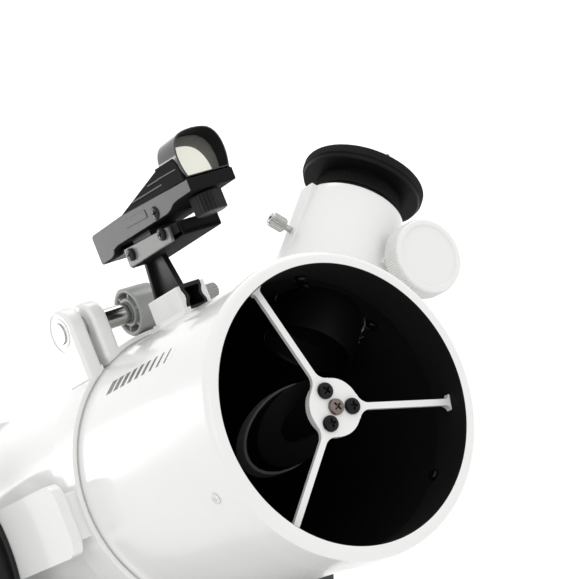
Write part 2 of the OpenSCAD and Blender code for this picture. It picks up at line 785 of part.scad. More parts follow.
// bar that joins both clamps on one side and carries the bearing disc
module side_bar(side) {
  bar_l = clamp_zs[1] - clamp_zs[0] + clamp_w;
  color(white) tube_frame() difference() {
    union() {
      translate([side > 0 ? bar_in_x : -bar_in_x - bar_t, -20, -clamp_zs[1] - clamp_w / 2])
        cube([bar_t, 40, bar_l]);
      for (z = clamp_zs) translate([side > 0 ? 80 : -bar_in_x - eps, -13, -z - clamp_w / 2 + 3])
        cube([bar_in_x - 80 + eps, 26, clamp_w - 6]);
      translate([0, 0, -axis_back])
        rod_x(side > 0 ? bar_in_x : -bar_in_x - bar_t, side > 0 ? bar_in_x + bar_t : -bar_in_x, 52);
    }
    rod_z(-tube_l, 0, clamp_out_r);
    for (a = [90, 210, 330]) translate([0, 36 * sin(a), -axis_back + 36 * cos(a)])
      rod_x(-120, 120, 2.5 + screw_gap);
  }
}

// disc with a guide flange on the tube side, bolted to the bar by three cap screws
module altitude_disc(side) {
  x0 = bar_in_x + bar_t;
  color(black) tube_frame() translate([0, 0, -axis_back]) mirror([side < 0 ? 1 : 0, 0, 0]) {
    difference() {
      union() {
        rod_x(x0, x0 + flange_t, alt_disc_r + 5);
        rod_x(x0, board_out_x + 2, alt_disc_r);
      }
      rod_x(board_out_x - 4, board_out_x + 3, alt_disc_r - 8);
      for (a = [90, 210, 330]) translate([0, 36 * sin(a), 36 * cos(a)])
        rod_x(x0 - 1, board_out_x, 2.5 + screw_gap);
    }
    for (a = [90, 210, 330]) translate([0, 36 * sin(a), 36 * cos(a)]) {
      rod_x(board_out_x - 4, board_out_x, 4.5);
      rod_x(bar_in_x + 1, board_out_x - 3, 2.5);
    }
  }
}

// ---------- rocker base ----------

module altitude_pads() {
  color("#e8e6de") translate([0, 0, axis_h]) for (s = [-1, 1], a = [-50, 50])
    translate([s > 0 ? board_in_x : -board_out_x, 0, 0]) rotate([a, 0, 0]) rotate([0, 90, 0])
      rotate([0, 0, -12]) rotate_extrude(angle = 24)
        translate([alt_disc_r + pad_gap, 0]) square([pad_t - pad_gap, board_t]);
}

module side_outline() {
  shoulder_z = axis_h + 6;
  shoulder_y = alt_disc_r + 24;
  difference() {
    polygon([[front_y - board_t, turn_top], [side_back_y, turn_top], [side_back_y, turn_top + 60],
      [shoulder_y, axis_h - 40], [shoulder_y, shoulder_z], [-shoulder_y, shoulder_z],
      [-shoulder_y, axis_h - 40], [front_y - board_t, turn_top + 130]]);
    translate([0, axis_h]) circle(r = alt_disc_r + pad_t);
    translate([-alt_disc_r - pad_t, axis_h]) square([2 * (alt_disc_r + pad_t), 50]);
  }
}

module rocker_sides() {
  color(dark) for (s = [-1, 1]) translate([s > 0 ? board_in_x : -board_out_x, 0, 0])
    rotate([90, 0, 90]) linear_extrude(board_t) side_outline();
}

module rocker_front() {
  panel_h = 110;
  slot_half = 42;
  slot_r = 13;
  color(dark) translate([0, front_y, turn_top]) difference() {
    translate([-board_in_x, -board_t, 0]) cube([2 * board_in_x, board_t, panel_h]);
    for (s = [-1, 1]) translate([s * slot_half, 0, panel_h - 34]) rod_y(-board_t - 1, 1, slot_r);
    translate([-slot_half, -board_t - 1, panel_h - 34 - slot_r])
      cube([2 * slot_half, board_t + 2, 2 * slot_r]);
  }
}

module rocker_base() {
  color(dark) difference() {
    rod_z(turn_z, turn_top, turn_r);
    rod_z(turn_z - 1, turn_top + 1, 5 + run_gap);
  }
}

module ground_board() {
  color(dark) difference() {
    rod_z(foot_h, ground_top, ground_r);
    rod_z(foot_h - 1, ground_top + 1, 5 + screw_gap);
    for (a = [30, 150, 270]) rotate([0, 0, a]) translate([ground_r - 28, 0, 0])
      rod_z(foot_h - 1, foot_h + 10, 2.1);
  }
}

// pivot bolt with its nut and washer, and the three glide pads
module ground_hardware() {
  color(steel) {
    rod_z(foot_h - 1, turn_top + 8.6, 5);
    rod_z(foot_h - 5, foot_h, 11);
    rod_z(turn_top + 0.3, turn_top + 1.8, 13);
    translate([0, 0, turn_top + 1.8]) cylinder(h = 6, r = 9, $fn = 6);
  }
  color("#e8e6de") for (a = [90, 210, 330]) rotate([0, 0, a])
    translate([ground_r - 50, 0, 0]) rod_z(ground_top, ground_top + glide_t, 12);
}

module ground_feet() {
  color(black) for (a = [30, 150, 270]) rotate([0, 0, a]) translate([ground_r - 28, 0, 0]) {
    difference() {
      cylinder(h = foot_h, r1 = 14, r2 = 17);
      rod_z(-1, 3, 6);
    }
    rod_z(foot_h - 1, foot_h + 9, 2);
  }
}

// ---------- node switch ----------

main_tube();
front_ring();
ring_screws();
spider();
secondary_center_screw();
secondary_screws();
secondary_holder();
secondary_mirror();
rear_cell();
mirror_plate();
primary_mirror();
mirror_clips();
collimation_springs();
cell_lock_screws();
collimation_knob(0);  // collimation_knob_1
collimation_knob(1);  // collimation_knob_2
collimation_knob(2);  // collimation_knob_3
focuser_housing();
focuser_fasteners();
drawtube();
focuser_rack();
pinion_shaft();
focus_knob_front();
focus_knob_rear();
focuser_lock_screw();
t_adapter_ring();
camera_ring();
finder_shoe();
shoe_thumbscrew();
finder_bracket();
finder_side_plate();
finder_screws();
finder_body();
finder_hood();
finder_window();
finder_led();
finder_battery();
battery_cover();
brightness_wheel();
clamp_front_left();
clamp_front_right();
clamp_rear_left();
clamp_rear_right();
clamp_hinge_pins();
clamp_felt();
clamp_bolt(clamp_zs[0]);  // clamp_bolt_front
clamp_bolt(clamp_zs[1]);  // clamp_bolt_rear
clamp_knob(clamp_zs[0]);  // clamp_knob_front
clamp_knob(clamp_zs[1]);  // clamp_knob_rear
side_bar(-1);  // side_bar_left
side_bar(1);  // side_bar_right
altitude_disc(-1);  // altitude_disc_left
altitude_disc(1);  // altitude_disc_right
altitude_pads();
rocker_sides();
rocker_front();
rocker_base();
ground_board();
ground_hardware();
ground_feet();
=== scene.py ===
import json
import math

import bmesh
import bpy
from mathutils import Matrix, Vector


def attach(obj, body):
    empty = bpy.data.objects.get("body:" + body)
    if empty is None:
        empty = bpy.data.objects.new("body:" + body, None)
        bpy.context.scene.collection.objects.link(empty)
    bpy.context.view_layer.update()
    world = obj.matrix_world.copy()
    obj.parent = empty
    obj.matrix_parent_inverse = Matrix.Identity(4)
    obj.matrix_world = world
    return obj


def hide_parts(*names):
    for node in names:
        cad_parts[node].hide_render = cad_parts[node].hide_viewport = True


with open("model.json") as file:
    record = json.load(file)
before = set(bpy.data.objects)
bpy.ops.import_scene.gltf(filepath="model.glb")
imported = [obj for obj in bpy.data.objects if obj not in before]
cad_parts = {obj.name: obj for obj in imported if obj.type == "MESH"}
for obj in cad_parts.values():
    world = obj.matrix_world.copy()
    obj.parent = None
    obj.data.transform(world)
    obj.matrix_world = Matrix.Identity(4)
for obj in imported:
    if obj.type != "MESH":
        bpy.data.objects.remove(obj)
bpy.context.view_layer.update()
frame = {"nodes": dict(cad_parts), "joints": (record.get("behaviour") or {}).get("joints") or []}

MM = 0.001
TURN = 2 * math.pi
JOINTS = {j["name"]: j for j in frame["joints"]}


# ---------- frames, taken from the joints ----------

def axis_of(joint):
    return Vector(JOINTS[joint]["axis"]).normalized()


def pivot_of(joint):
    return Vector(JOINTS[joint]["pos_m"])


def axes(origin, x, y, z):
    m = Matrix.Identity(4)
    for column, v in enumerate((x, y, z)):
        for row in range(3):
            m[row][column] = v[row]
    m.translation = origin
    return m


def tube_frame():
    """Origin at the centre of the front rim, X sideways, Y up, Z out of the opening."""
    z = axis_of("secondary_turn")
    x = Vector((1, 0, 0))
    p = pivot_of("secondary_turn")
    reach = max((v.co - p).dot(z) for v in frame["nodes"]["front_ring"].data.vertices)
    return axes(p + z * reach, x, z.cross(x), z)


def focus_frame():
    """Origin on the tube axis under the drawtube, Y to the back of the tube, Z out along the drawtube."""
    z = axis_of("focus_travel")
    y = axis_of("focus_turn")
    return axes(pivot_of("secondary_turn"), y.cross(z), y, z)


TUBE = tube_frame()
FOCUS = focus_frame()
FLOOR = Matrix.Identity(4)


def between(inner, outer):
    """Takes millimetre points of the inner frame to the outer frame."""
    m = outer.inverted() @ inner
    m.translation = m.translation / MM
    return m


def span(node, at=TUBE):
    """Lowest and highest corner of a CAD node in a frame, in millimetres."""
    back = at.inverted()
    points = [back @ v.co for v in frame["nodes"][node].data.vertices]
    lo = Vector([min(p[i] for p in points) for i in range(3)]) / MM
    hi = Vector([max(p[i] for p in points) for i in range(3)]) / MM
    return lo, hi


def bore_of(node):
    """Smallest distance of a CAD node's vertices from the tube axis, in millimetres."""
    back = TUBE.inverted()
    points = [back @ v.co for v in frame["nodes"][node].data.vertices]
    return min(math.hypot(p.x, p.y) for p in points) / MM


# ---------- solids in millimetres ----------

class Solid:
    """Vertices and faces, with a material index for each face."""

    def __init__(self, verts=(), faces=(), mats=()):
        self.verts = [Vector(v) for v in verts]
        self.faces = [tuple(f) for f in faces]
        self.mats = list(mats) or [0] * len(self.faces)

    def moved(self, matrix):
        return Solid([matrix @ v for v in self.verts], self.faces, self.mats)

    def shifted(self, x, y, z):
        return self.moved(Matrix.Translation((x, y, z)))

    def spun(self, angle):
        return self.moved(turned(angle, "Z"))

    def lying(self, axis, x, y, z):
        """Laid down from Z to another axis, and moved to a place."""
        return self.moved(axis).shifted(x, y, z)

    def painted(self, mat):
        return Solid(self.verts, self.faces, [mat] * len(self.faces))

    def __add__(self, other):
        n = len(self.verts)
        faces = self.faces + [tuple(i + n for i in f) for f in other.faces]
        return Solid(self.verts + other.verts, faces, self.mats + other.mats)


def turned(angle, axis):
    return Matrix.Rotation(math.radians(angle), 4, axis)


def together(solids):
    total = Solid()
    for s in solids:
        total = total + s
    return total


def polar(r, degrees):
    a = math.radians(degrees)
    return r * math.cos(a), r * math.sin(a)


def arc(cx, cy, r, a0, a1, n=6):
    """Points of an arc from one angle to another, in n steps."""
    points = [polar(r, a0 + (a1 - a0) * i / n) for i in range(n + 1)]
    return [(cx + x, cy + y) for x, y in points]


def both_ways(half):
    """A closed outline from its half above the x axis, which runs outwards."""
    return half + [(x, -y) for x, y in reversed(half)]


def rounded(outline, radius, n=5):
    """Fillets every corner of a 2D outline; radius may be one number or one per corner."""
    out = []
    count = len(outline)
    for i, p in enumerate(outline):
        r = radius[i] if isinstance(radius, (list, tuple)) else radius
        p = Vector(p)
        a = Vector(outline[i - 1]) - p
        b = Vector(outline[(i + 1) % count]) - p
        angle = a.angle(b, math.pi)
        if r <= 0 or angle > math.radians(176):
            out.append(tuple(p))
            continue
        cut = min(r / math.tan(angle / 2), a.length * 0.49, b.length * 0.49)
        r = cut * math.tan(angle / 2)
        start, end = p + a.normalized() * cut, p + b.normalized() * cut
        centre = p + (a.normalized() + b.normalized()).normalized() * (r / math.sin(angle / 2))
        u, v = start - centre, end - centre
        sweep = u.angle_signed(v)
        for k in range(n + 1):
            t = -sweep * k / n
            c, s = math.cos(t), math.sin(t)
            out.append((centre.x + u.x * c - u.y * s, centre.y + u.x * s + u.y * c))
    return out


def lathe(profile, segs=96, mats=0, ribs=0):
    """A closed (radius, height) outline turned about Z; a third number is the depth of ribs."""
    verts, faces, painted, rings = [], [], [], []
    for p in profile:
        depth = p[2] if len(p) > 2 else 0
        if p[0] < 1e-6:
            rings.append([len(verts)])
            verts.append((0, 0, p[1]))
            continue
        ring = []
        for i in range(segs):
            a = TURN * i / segs
            r = p[0] - depth * (0.5 - 0.5 * math.cos(ribs * a))
            ring.append(len(verts))
            verts.append((r * math.cos(a), r * math.sin(a), p[1]))
        rings.append(ring)
    for k, a in enumerate(rings):
        b = rings[(k + 1) % len(rings)]
        if len(a) == 1 and len(b) == 1:
            continue
        mat = mats[k] if isinstance(mats, list) else mats
        for i in range(segs):
            j = (i + 1) % segs
            if len(a) == 1:
                faces.append((a[0], b[i], b[j]))
            elif len(b) == 1:
                faces.append((a[i], b[0], a[j]))
            else:
                faces.append((a[i], b[i], b[j], a[j]))
            painted.append(mat)
    return Solid(verts, faces, painted)


def rod(r, z0, z1, edge=0.3, segs=48):
    e = min(edge, r * 0.4, abs(z1 - z0) * 0.4)
    low = [(r - e + x, z0 + e - y) for x, y in arc(0, 0, e, 90, 0, 3)]
    high = [(r - e + x, z1 - e + y) for x, y in arc(0, 0, e, 0, 90, 3)]
    return lathe([(0, z0)] + low + high + [(0, z1)], segs)


def prism(outline, z0, z1, mat=0):
    n = len(outline)
    verts = [(x, y, z0) for x, y in outline] + [(x, y, z1) for x, y in outline]
    faces = [tuple(range(n - 1, -1, -1)), tuple(range(n, 2 * n))]
    faces += [(i, (i + 1) % n, n + (i + 1) % n, n + i) for i in range(n)]
    return Solid(verts, faces, [mat] * len(faces))


def slab(outline, x0, x1):
    """A prism along X from an outline of (z, y) points."""
    swapped = Matrix(((0, 0, 1, 0), (0, 1, 0, 0), (1, 0, 0, 0), (0, 0, 0, 1)))
    return prism(outline, x0, x1).moved(swapped)


def block(x0, x1, y0, y1, z0, z1):
    return prism([(x0, y0), (x1, y0), (x1, y1), (x0, y1)], z0, z1)


def skinned(outlines, closed):
    """Skins outlines of equal point counts, and either caps both ends or closes back to the first."""
    n, count = len(outlines[0]), len(outlines)
    verts = [p for o in outlines for p in o]
    faces = []
    if not closed:
        faces = [tuple(range(n - 1, -1, -1)), tuple(range(len(verts) - n, len(verts)))]
    for k in range(count if closed else count - 1):
        m = (k + 1) % count
        for i in range(n):
            j = (i + 1) % n
            faces.append((k * n + i, k * n + j, m * n + j, m * n + i))
    return Solid(verts, faces)


def eased(points, rounds=2):
    """Cuts the corners of an open line of points, keeping its ends."""
    for _ in range(rounds):
        out = [points[0]]
        for a, b in zip(points, points[1:]):
            out += [tuple(a[i] * 0.75 + b[i] * 0.25 for i in range(2)),
                tuple(a[i] * 0.25 + b[i] * 0.75 for i in range(2))]
        points = out + [points[-1]]
    return points


def ellipse_ring(cx, cy, r, n=48):
    return [(cx + r * math.cos(TURN * i / n), cy + r * math.sin(TURN * i / n)) for i in range(n)]


ALONG_X = turned(90, "Y")
ALONG_Y = turned(-90, "X")
FLIPPED_X = Matrix.Scale(-1, 4, (1, 0, 0))


def to_bm(s):
    bm = bmesh.new()
    vs = [bm.verts.new(v) for v in s.verts]
    for f, m in zip(s.faces, s.mats):
        try:
            bm.faces.new([vs[i] for i in f]).material_index = m
        except ValueError:
            pass
    bmesh.ops.recalc_face_normals(bm, faces=bm.faces)
    return bm


def from_bm(bm):
    bm.verts.ensure_lookup_table()
    bm.verts.index_update()
    s = Solid([v.co.copy() for v in bm.verts], [[v.index for v in f.verts] for f in bm.faces],
        [f.material_index for f in bm.faces])
    bm.free()
    return s


def soft(s, width, segs=3, limit=32):
    """Rounds the edges that are sharper than limit degrees."""
    bm = to_bm(s)
    sharp = [e for e in bm.edges if len(e.link_faces) == 2 and e.calc_face_angle(0) > math.radians(limit)]
    bmesh.ops.bevel(bm, geom=sharp, offset=width, offset_type="OFFSET", segments=segs, profile=0.5,
        affect="EDGES", clamp_overlap=True, material=-1)
    return from_bm(bm)


SCRATCH = [bpy.data.materials.new(f"scratch_{i}") for i in range(4)]


def scratch(s):
    mesh = bpy.data.meshes.new("scratch")
    bm = to_bm(s)
    bm.to_mesh(mesh)
    bm.free()
    for m in SCRATCH:
        mesh.materials.append(m)
    o = bpy.data.objects.new("scratch", mesh)
    bpy.context.scene.collection.objects.link(o)
    return o


def boolean(a, b, operation):
    oa, ob = scratch(a), scratch(b)
    m = oa.modifiers.new("cut", "BOOLEAN")
    m.object, m.operation, m.solver = ob, operation, "EXACT"
    bpy.context.view_layer.update()
    made = bpy.data.meshes.new_from_object(oa.evaluated_get(bpy.context.evaluated_depsgraph_get()))
    s = Solid([v.co.copy() for v in made.vertices], [list(p.vertices) for p in made.polygons],
        [p.material_index for p in made.polygons])
    old = [oa.data, ob.data, made]
    for o in (oa, ob):
        bpy.data.objects.remove(o)
    for mesh in old:
        bpy.data.meshes.remove(mesh)
    return s


def minus(a, *others):
    for b in others:
        a = boolean(a, b, "DIFFERENCE")
    return a


def union(a, *others):
    for b in others:
        a = boolean(a, b, "UNION")
    return a


def common(a, b):
    return boolean(a, b, "INTERSECT")


def make(node, s, finishes, body="optical_tube", at=TUBE, crease=38, name=None):
    """A finished piece in place of a CAD node, from a solid, with a material slot for each finish."""
    name = name or f"{node}_finished"
    if not isinstance(finishes, list):
        finishes = [finishes]
    bm = to_bm(s.moved(Matrix.Scale(MM, 4)))
    mesh = bpy.data.meshes.new(name)
    bm.to_mesh(mesh)
    bm.free()
    for m in finishes:
        mesh.materials.append(m)
    mesh.polygons.foreach_set("use_smooth", [True] * len(mesh.polygons))
    mesh.set_sharp_from_angle(angle=math.radians(crease))
    o = bpy.data.objects.new(name, mesh)
    bpy.context.scene.collection.objects.link(o)
    o.matrix_world = at
    even = o.modifiers.new("even_normals", "WEIGHTED_NORMAL")
    even.keep_sharp = True
    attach(o, body)
    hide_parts(node)


# ---------- materials ----------

class Shader:
    """A principled material whose textures follow the piece's own coordinates."""

    def __init__(self, name):
        self.material = bpy.data.materials.new(name)
        self.material.use_nodes = True
        self.tree = self.material.node_tree
        self.tree.nodes.clear()
        out = self.tree.nodes.new("ShaderNodeOutputMaterial")
        self.bsdf = self.tree.nodes.new("ShaderNodeBsdfPrincipled")
        self.tree.links.new(self.bsdf.outputs[0], out.inputs["Surface"])
        self.where = self.tree.nodes.new("ShaderNodeTexCoord").outputs["Object"]

    def feed(self, slot, value):
        """Links a socket to an input, or sets the input's own value."""
        if isinstance(value, bpy.types.NodeSocket):
            self.tree.links.new(value, slot)
        else:
            slot.default_value = (*value, 1) if slot.type == "RGBA" else value

    def node(self, kind, settings=None, **inputs):
        """A node with its settings and inputs; an input is named, or numbered as in _0."""
        n = self.tree.nodes.new(kind)
        for key, value in (settings or {}).items():
            setattr(n, key, value)
        for key, value in inputs.items():
            self.feed(n.inputs[int(key[1:])] if key[0] == "_" else n.inputs[key.replace("_", " ")], value)
        return n

    def math(self, operation, a, b=0.0, c=0.0):
        return self.node("ShaderNodeMath", {"operation": operation}, _0=a, _1=b, _2=c).outputs[0]

    def noise(self, scale, detail=3.0, rough=0.55, stretch=None):
        where = self.where
        if stretch:
            where = self.node("ShaderNodeMapping", Vector=where, Scale=stretch).outputs[0]
        return self.node("ShaderNodeTexNoise", Vector=where, Scale=scale, Detail=detail,
            Roughness=rough).outputs["Fac"]

    def ramp(self, value, stops):
        n = self.node("ShaderNodeValToRGB", Fac=value)
        for element, (place, colour) in zip(n.color_ramp.elements, stops):
            element.position, element.color = place, (*colour, 1)
        return n.outputs["Color"]

    def mixed(self, fac, a, b):
        n = self.node("ShaderNodeMix", {"data_type": "RGBA"}, Factor=fac)
        sockets = [i for i in n.inputs if i.type == "RGBA"]
        for slot, value in zip(sockets, (a, b)):
            self.feed(slot, value)
        return [o for o in n.outputs if o.type == "RGBA"][0]

    def spread(self, value, lo, hi, from_lo=0.3, from_hi=0.7):
        return self.node("ShaderNodeMapRange", Value=value, From_Min=from_lo, From_Max=from_hi, To_Min=lo,
            To_Max=hi).outputs["Result"]

    def bump(self, height, strength, depth):
        n = self.node("ShaderNodeBump", Height=height, Strength=strength, Distance=depth)
        self.tree.links.new(n.outputs[0], self.bsdf.inputs["Normal"])

    def set(self, **values):
        for key, value in values.items():
            self.feed(self.bsdf.inputs[key.replace("_", " ")], value)


def scaled(colour, k):
    return tuple(min(1.0, c * k) for c in colour)


def surface(name, colour, rough, vary=0.06, grain=900.0, bump=0.1, depth=0.0001, patch=35.0, stretch=None,
        **sockets):
    """A finish whose colour drifts in broad patches and whose roughness and relief follow a fine grain."""
    sh = Shader(name)
    broad = sh.noise(patch, 4.0)
    fine = sh.noise(grain, 3.0, 0.6, stretch)
    sh.set(Base_Color=sh.ramp(broad, [(0.3, scaled(colour, 1 - vary)), (0.7, scaled(colour, 1 + vary))]))
    sh.set(Roughness=sh.spread(fine, rough[0], rough[1]))
    sh.bump(fine, bump, depth)
    sh.set(**sockets)
    return sh.material


def enamel(name, printed=False):
    """Gloss white enamel with a faint orange peel; printed adds a row of slanted bars on the tube."""
    sh = Shader(name)
    base = sh.ramp(sh.noise(9.0, 3.0), [(0.3, (0.80, 0.799, 0.787)), (0.7, (0.83, 0.829, 0.817))])
    if printed:
        parts = sh.node("ShaderNodeSeparateXYZ", Vector=sh.where).outputs
        around = sh.math("MULTIPLY", sh.math("ARCTAN2", parts[1], parts[0]), TUBE_R * MM)
        v = sh.math("SUBTRACT", around, math.radians(PRINT_ANGLE) * TUBE_R * MM)
        u = sh.math("SUBTRACT", sh.math("ADD", parts[2], sh.math("MULTIPLY", v, BAR_SLANT)), PRINT_Z0 * MM)
        share = sh.math("DIVIDE", u, PRINT_L * MM)
        step = sh.math("FRACT", sh.math("DIVIDE", u, PRINT_PITCH * MM))
        bars = sh.math("LESS_THAN", step, sh.math("SUBTRACT", BAR_WIDEST,
            sh.math("MULTIPLY", share, BAR_THINNING)))
        inside = sh.math("MULTIPLY", sh.math("GREATER_THAN", share, 0.0), sh.math("LESS_THAN", share, 1.0))
        height = sh.math("LESS_THAN", sh.math("ABSOLUTE", v), PRINT_H / 2 * MM)
        ink = sh.math("MULTIPLY", sh.math("MULTIPLY", bars, inside), height)
        base = sh.mixed(ink, base, (0.012, 0.012, 0.013))
    sh.set(Base_Color=base, Roughness=sh.spread(sh.noise(420.0, 2.0), 0.17, 0.26), Coat_Weight=0.35,
        Coat_Roughness=0.06)
    sh.bump(sh.noise(650.0, 2.0), 0.04, 0.00006)
    return sh.material


def window_coating():
    """Tinted glass with a pale greenish cream reflection coating."""
    sh = Shader("window_glass")
    tint = sh.ramp(sh.noise(25.0, 2.0), [(0.35, (0.80, 0.80, 0.70)), (0.65, (0.86, 0.86, 0.77))])
    sh.set(Base_Color=tint, Roughness=sh.spread(sh.noise(200.0), 0.03, 0.07), Metallic=0.82,
        Coat_Weight=0.5, Coat_Roughness=0.02)
    return sh.material


def laminate():
    """Satin black melamine with a fine pebble and a few pale scuffs."""
    sh = Shader("black_laminate")
    pebble = sh.node("ShaderNodeTexVoronoi", Vector=sh.where, Scale=700.0).outputs["Distance"]
    scuff = sh.ramp(sh.noise(60.0, 8.0, 0.7, (1.0, 6.0, 6.0)),
        [(0.55, (0.0, 0.0, 0.0)), (0.8, (1.0, 1.0, 1.0))])
    sh.set(Base_Color=sh.mixed(scuff, (0.020, 0.020, 0.021), (0.045, 0.045, 0.046)),
        Roughness=sh.spread(pebble, 0.38, 0.55, 0.0, 0.8))
    sh.bump(pebble, 0.25, 0.00012)
    return sh.material


def wool():
    """Light grey felt."""
    sh = Shader("felt")
    fuzz = sh.noise(1600.0, 8.0, 0.75)
    sh.set(Base_Color=sh.ramp(fuzz, [(0.3, (0.42, 0.42, 0.41)), (0.75, (0.56, 0.56, 0.54))]),
        Roughness=0.97, Sheen_Weight=0.5, Sheen_Roughness=0.6)
    sh.bump(fuzz, 0.6, 0.0004)
    return sh.material


TUBE_LO, TUBE_HI = span("main_tube")
RING_LO, RING_HI = span("front_ring")
TUBE_R = TUBE_HI.x
RING_R = RING_HI.x
RIM_R = bore_of("front_ring")
LIP = 4.2
LIP_IN = 1.0
WALL = 1.2
PRINT_ANGLE = 134.5
PRINT_Z0 = -119.0
PRINT_L = 74.0
PRINT_PITCH = 8.2
PRINT_H = 8.0
BAR_SLANT = 0.35
BAR_WIDEST = 0.82
BAR_THINNING = 0.6

WHITE = enamel("white_enamel")
WHITE_PRINTED = enamel("white_enamel_printed", printed=True)
INNER = surface("matte_black_lining", (0.0045, 0.0045, 0.0047), (0.72, 0.92), 0.15, 1400.0, 0.25, 0.0002,
    Specular_IOR_Level=0.2)
BLACK_METAL = surface("black_anodised", (0.0045, 0.0045, 0.0048), (0.36, 0.5), 0.1, 1900.0, 0.08, 0.00005,
    Specular_IOR_Level=0.14)
BRIGHT = surface("bright_metal", (0.74, 0.74, 0.73), (0.13, 0.24), 0.03, 1500.0, 0.05, 0.00003,
    Metallic=1.0)
STEEL = surface("zinc_steel", (0.58, 0.58, 0.57), (0.25, 0.4), 0.08, 900.0, 0.08, 0.00004, Metallic=1.0)
RACK = surface("rack_metal", (0.62, 0.62, 0.60), (0.3, 0.42), 0.05, 1200.0, 0.1, 0.00005, Metallic=1.0)
BRONZE = surface("bronze_screw", (0.20, 0.165, 0.145), (0.26, 0.4), 0.12, 1500.0, 0.1, 0.00005,
    Metallic=1.0)
BLACK_SCREW = surface("black_screw", (0.004, 0.004, 0.0042), (0.12, 0.18), 0.1, 1500.0, 0.05, 0.00004,
    Specular_IOR_Level=0.22)
MIRROR = surface("mirror_coating", (0.90, 0.91, 0.92), (0.012, 0.03), 0.01, 300.0, 0.0, 0.00001,
    Metallic=1.0)
GLASS_EDGE = surface("ground_glass", (0.17, 0.18, 0.165), (0.5, 0.7), 0.08, 900.0, 0.2, 0.00008,
    Specular_IOR_Level=0.3)
PLASTIC = surface("black_plastic", (0.0085, 0.0085, 0.009), (0.34, 0.48), 0.1, 1300.0, 0.22, 0.00008,
    Specular_IOR_Level=0.3)
SATIN = surface("satin_black_plastic", (0.008, 0.008, 0.0085), (0.62, 0.75), 0.1, 1300.0, 0.22, 0.00008,
    Specular_IOR_Level=0.1)
NICKEL = surface("dull_nickel", (0.50, 0.50, 0.485), (0.10, 0.18), 0.05, 1500.0, 0.05, 0.00003,
    Metallic=1.0)
DARK_GREY = surface("satin_grey_plastic", (0.070, 0.072, 0.070), (0.38, 0.5), 0.08, 1300.0, 0.2, 0.00008,
    Specular_IOR_Level=0.6)
GLOSS = surface("gloss_black_plastic", (0.006, 0.006, 0.0064), (0.09, 0.15), 0.1, 500.0, 0.03, 0.00004,
    Coat_Weight=0.8, Coat_Roughness=0.04)
GREY = surface("grey_plastic", (0.36, 0.37, 0.355), (0.38, 0.52), 0.05, 1100.0, 0.2, 0.00008)
PLATE = surface("grey_plate", (0.20, 0.20, 0.197), (0.34, 0.48), 0.06, 700.0, 0.12, 0.00005, Metallic=0.35)
WINDOW = window_coating()
RED = surface("red_dot", (0.42, 0.02, 0.02), (0.2, 0.3), 0.1, 1200.0, 0.05, 0.00003)
FELT = wool()
PAD = surface("bearing_plastic", (0.74, 0.73, 0.69), (0.3, 0.42), 0.03, 800.0, 0.1, 0.00006,
    Subsurface_Weight=0.1)
BOARD = laminate()
RUBBER = surface("foot_rubber", (0.018, 0.018, 0.018), (0.7, 0.85), 0.12, 1500.0, 0.35, 0.00015)


# ---------- parts that repeat ----------

def cross_recess(r, depth):
    """The tapered cross that a driver leaves room for, opening upwards at z = 0."""
    a, b = 0.62 * r, 0.15 * r
    mouth = [(-a, -b, 0.3), (a, -b, 0.3), (a, b, 0.3), (-a, b, 0.3)]
    floor = [(x * 0.6, y * 0.5, -depth) for x, y, _ in mouth]
    sides = [(0, 1, 2, 3), (7, 6, 5, 4), (0, 4, 5, 1), (1, 5, 6, 2), (2, 6, 7, 3), (3, 7, 4, 0)]
    arm = Solid(mouth + floor, sides)
    return union(arm, arm.spun(90))


def pan_head(r, h, shank_r, shank_l, crown=0.35):
    """Domed pan head with its top at z = 0 and the shank below."""
    dome = [(r * math.sin(math.radians(a)), -h * crown * (1 - math.cos(math.radians(a))))
        for a in range(0, 71, 14)]
    side = arc(r * 0.93, -h * 0.55, r * 0.07, 50, 0, 3) + arc(r * 0.95, -h + r * 0.05, r * 0.05, 0, -90, 2)
    s = lathe(dome + side + [(shank_r, -h), (shank_r, -h - shank_l), (0, -h - shank_l)], 40)
    return minus(s, cross_recess(r, h * 0.6))


def ribbed(r, h, count, depth, edge=0.8, segs_per=6, bore=0.0):
    """Round grip from z = 0 to h with even ribs that fade out at both rims."""
    profile = [(bore, 0), (r - edge - depth, 0), (r - depth * 0.7, edge * 0.5, depth * 0.3),
        (r, edge, depth)]
    profile += [(r, h * 0.5, depth), (r, h - edge, depth), (r - depth * 0.7, h - edge * 0.5, depth * 0.3),
        (r - edge - depth, h), (bore, h)]
    return lathe(profile, count * segs_per, 0, count)


# ---------- optical tube ----------

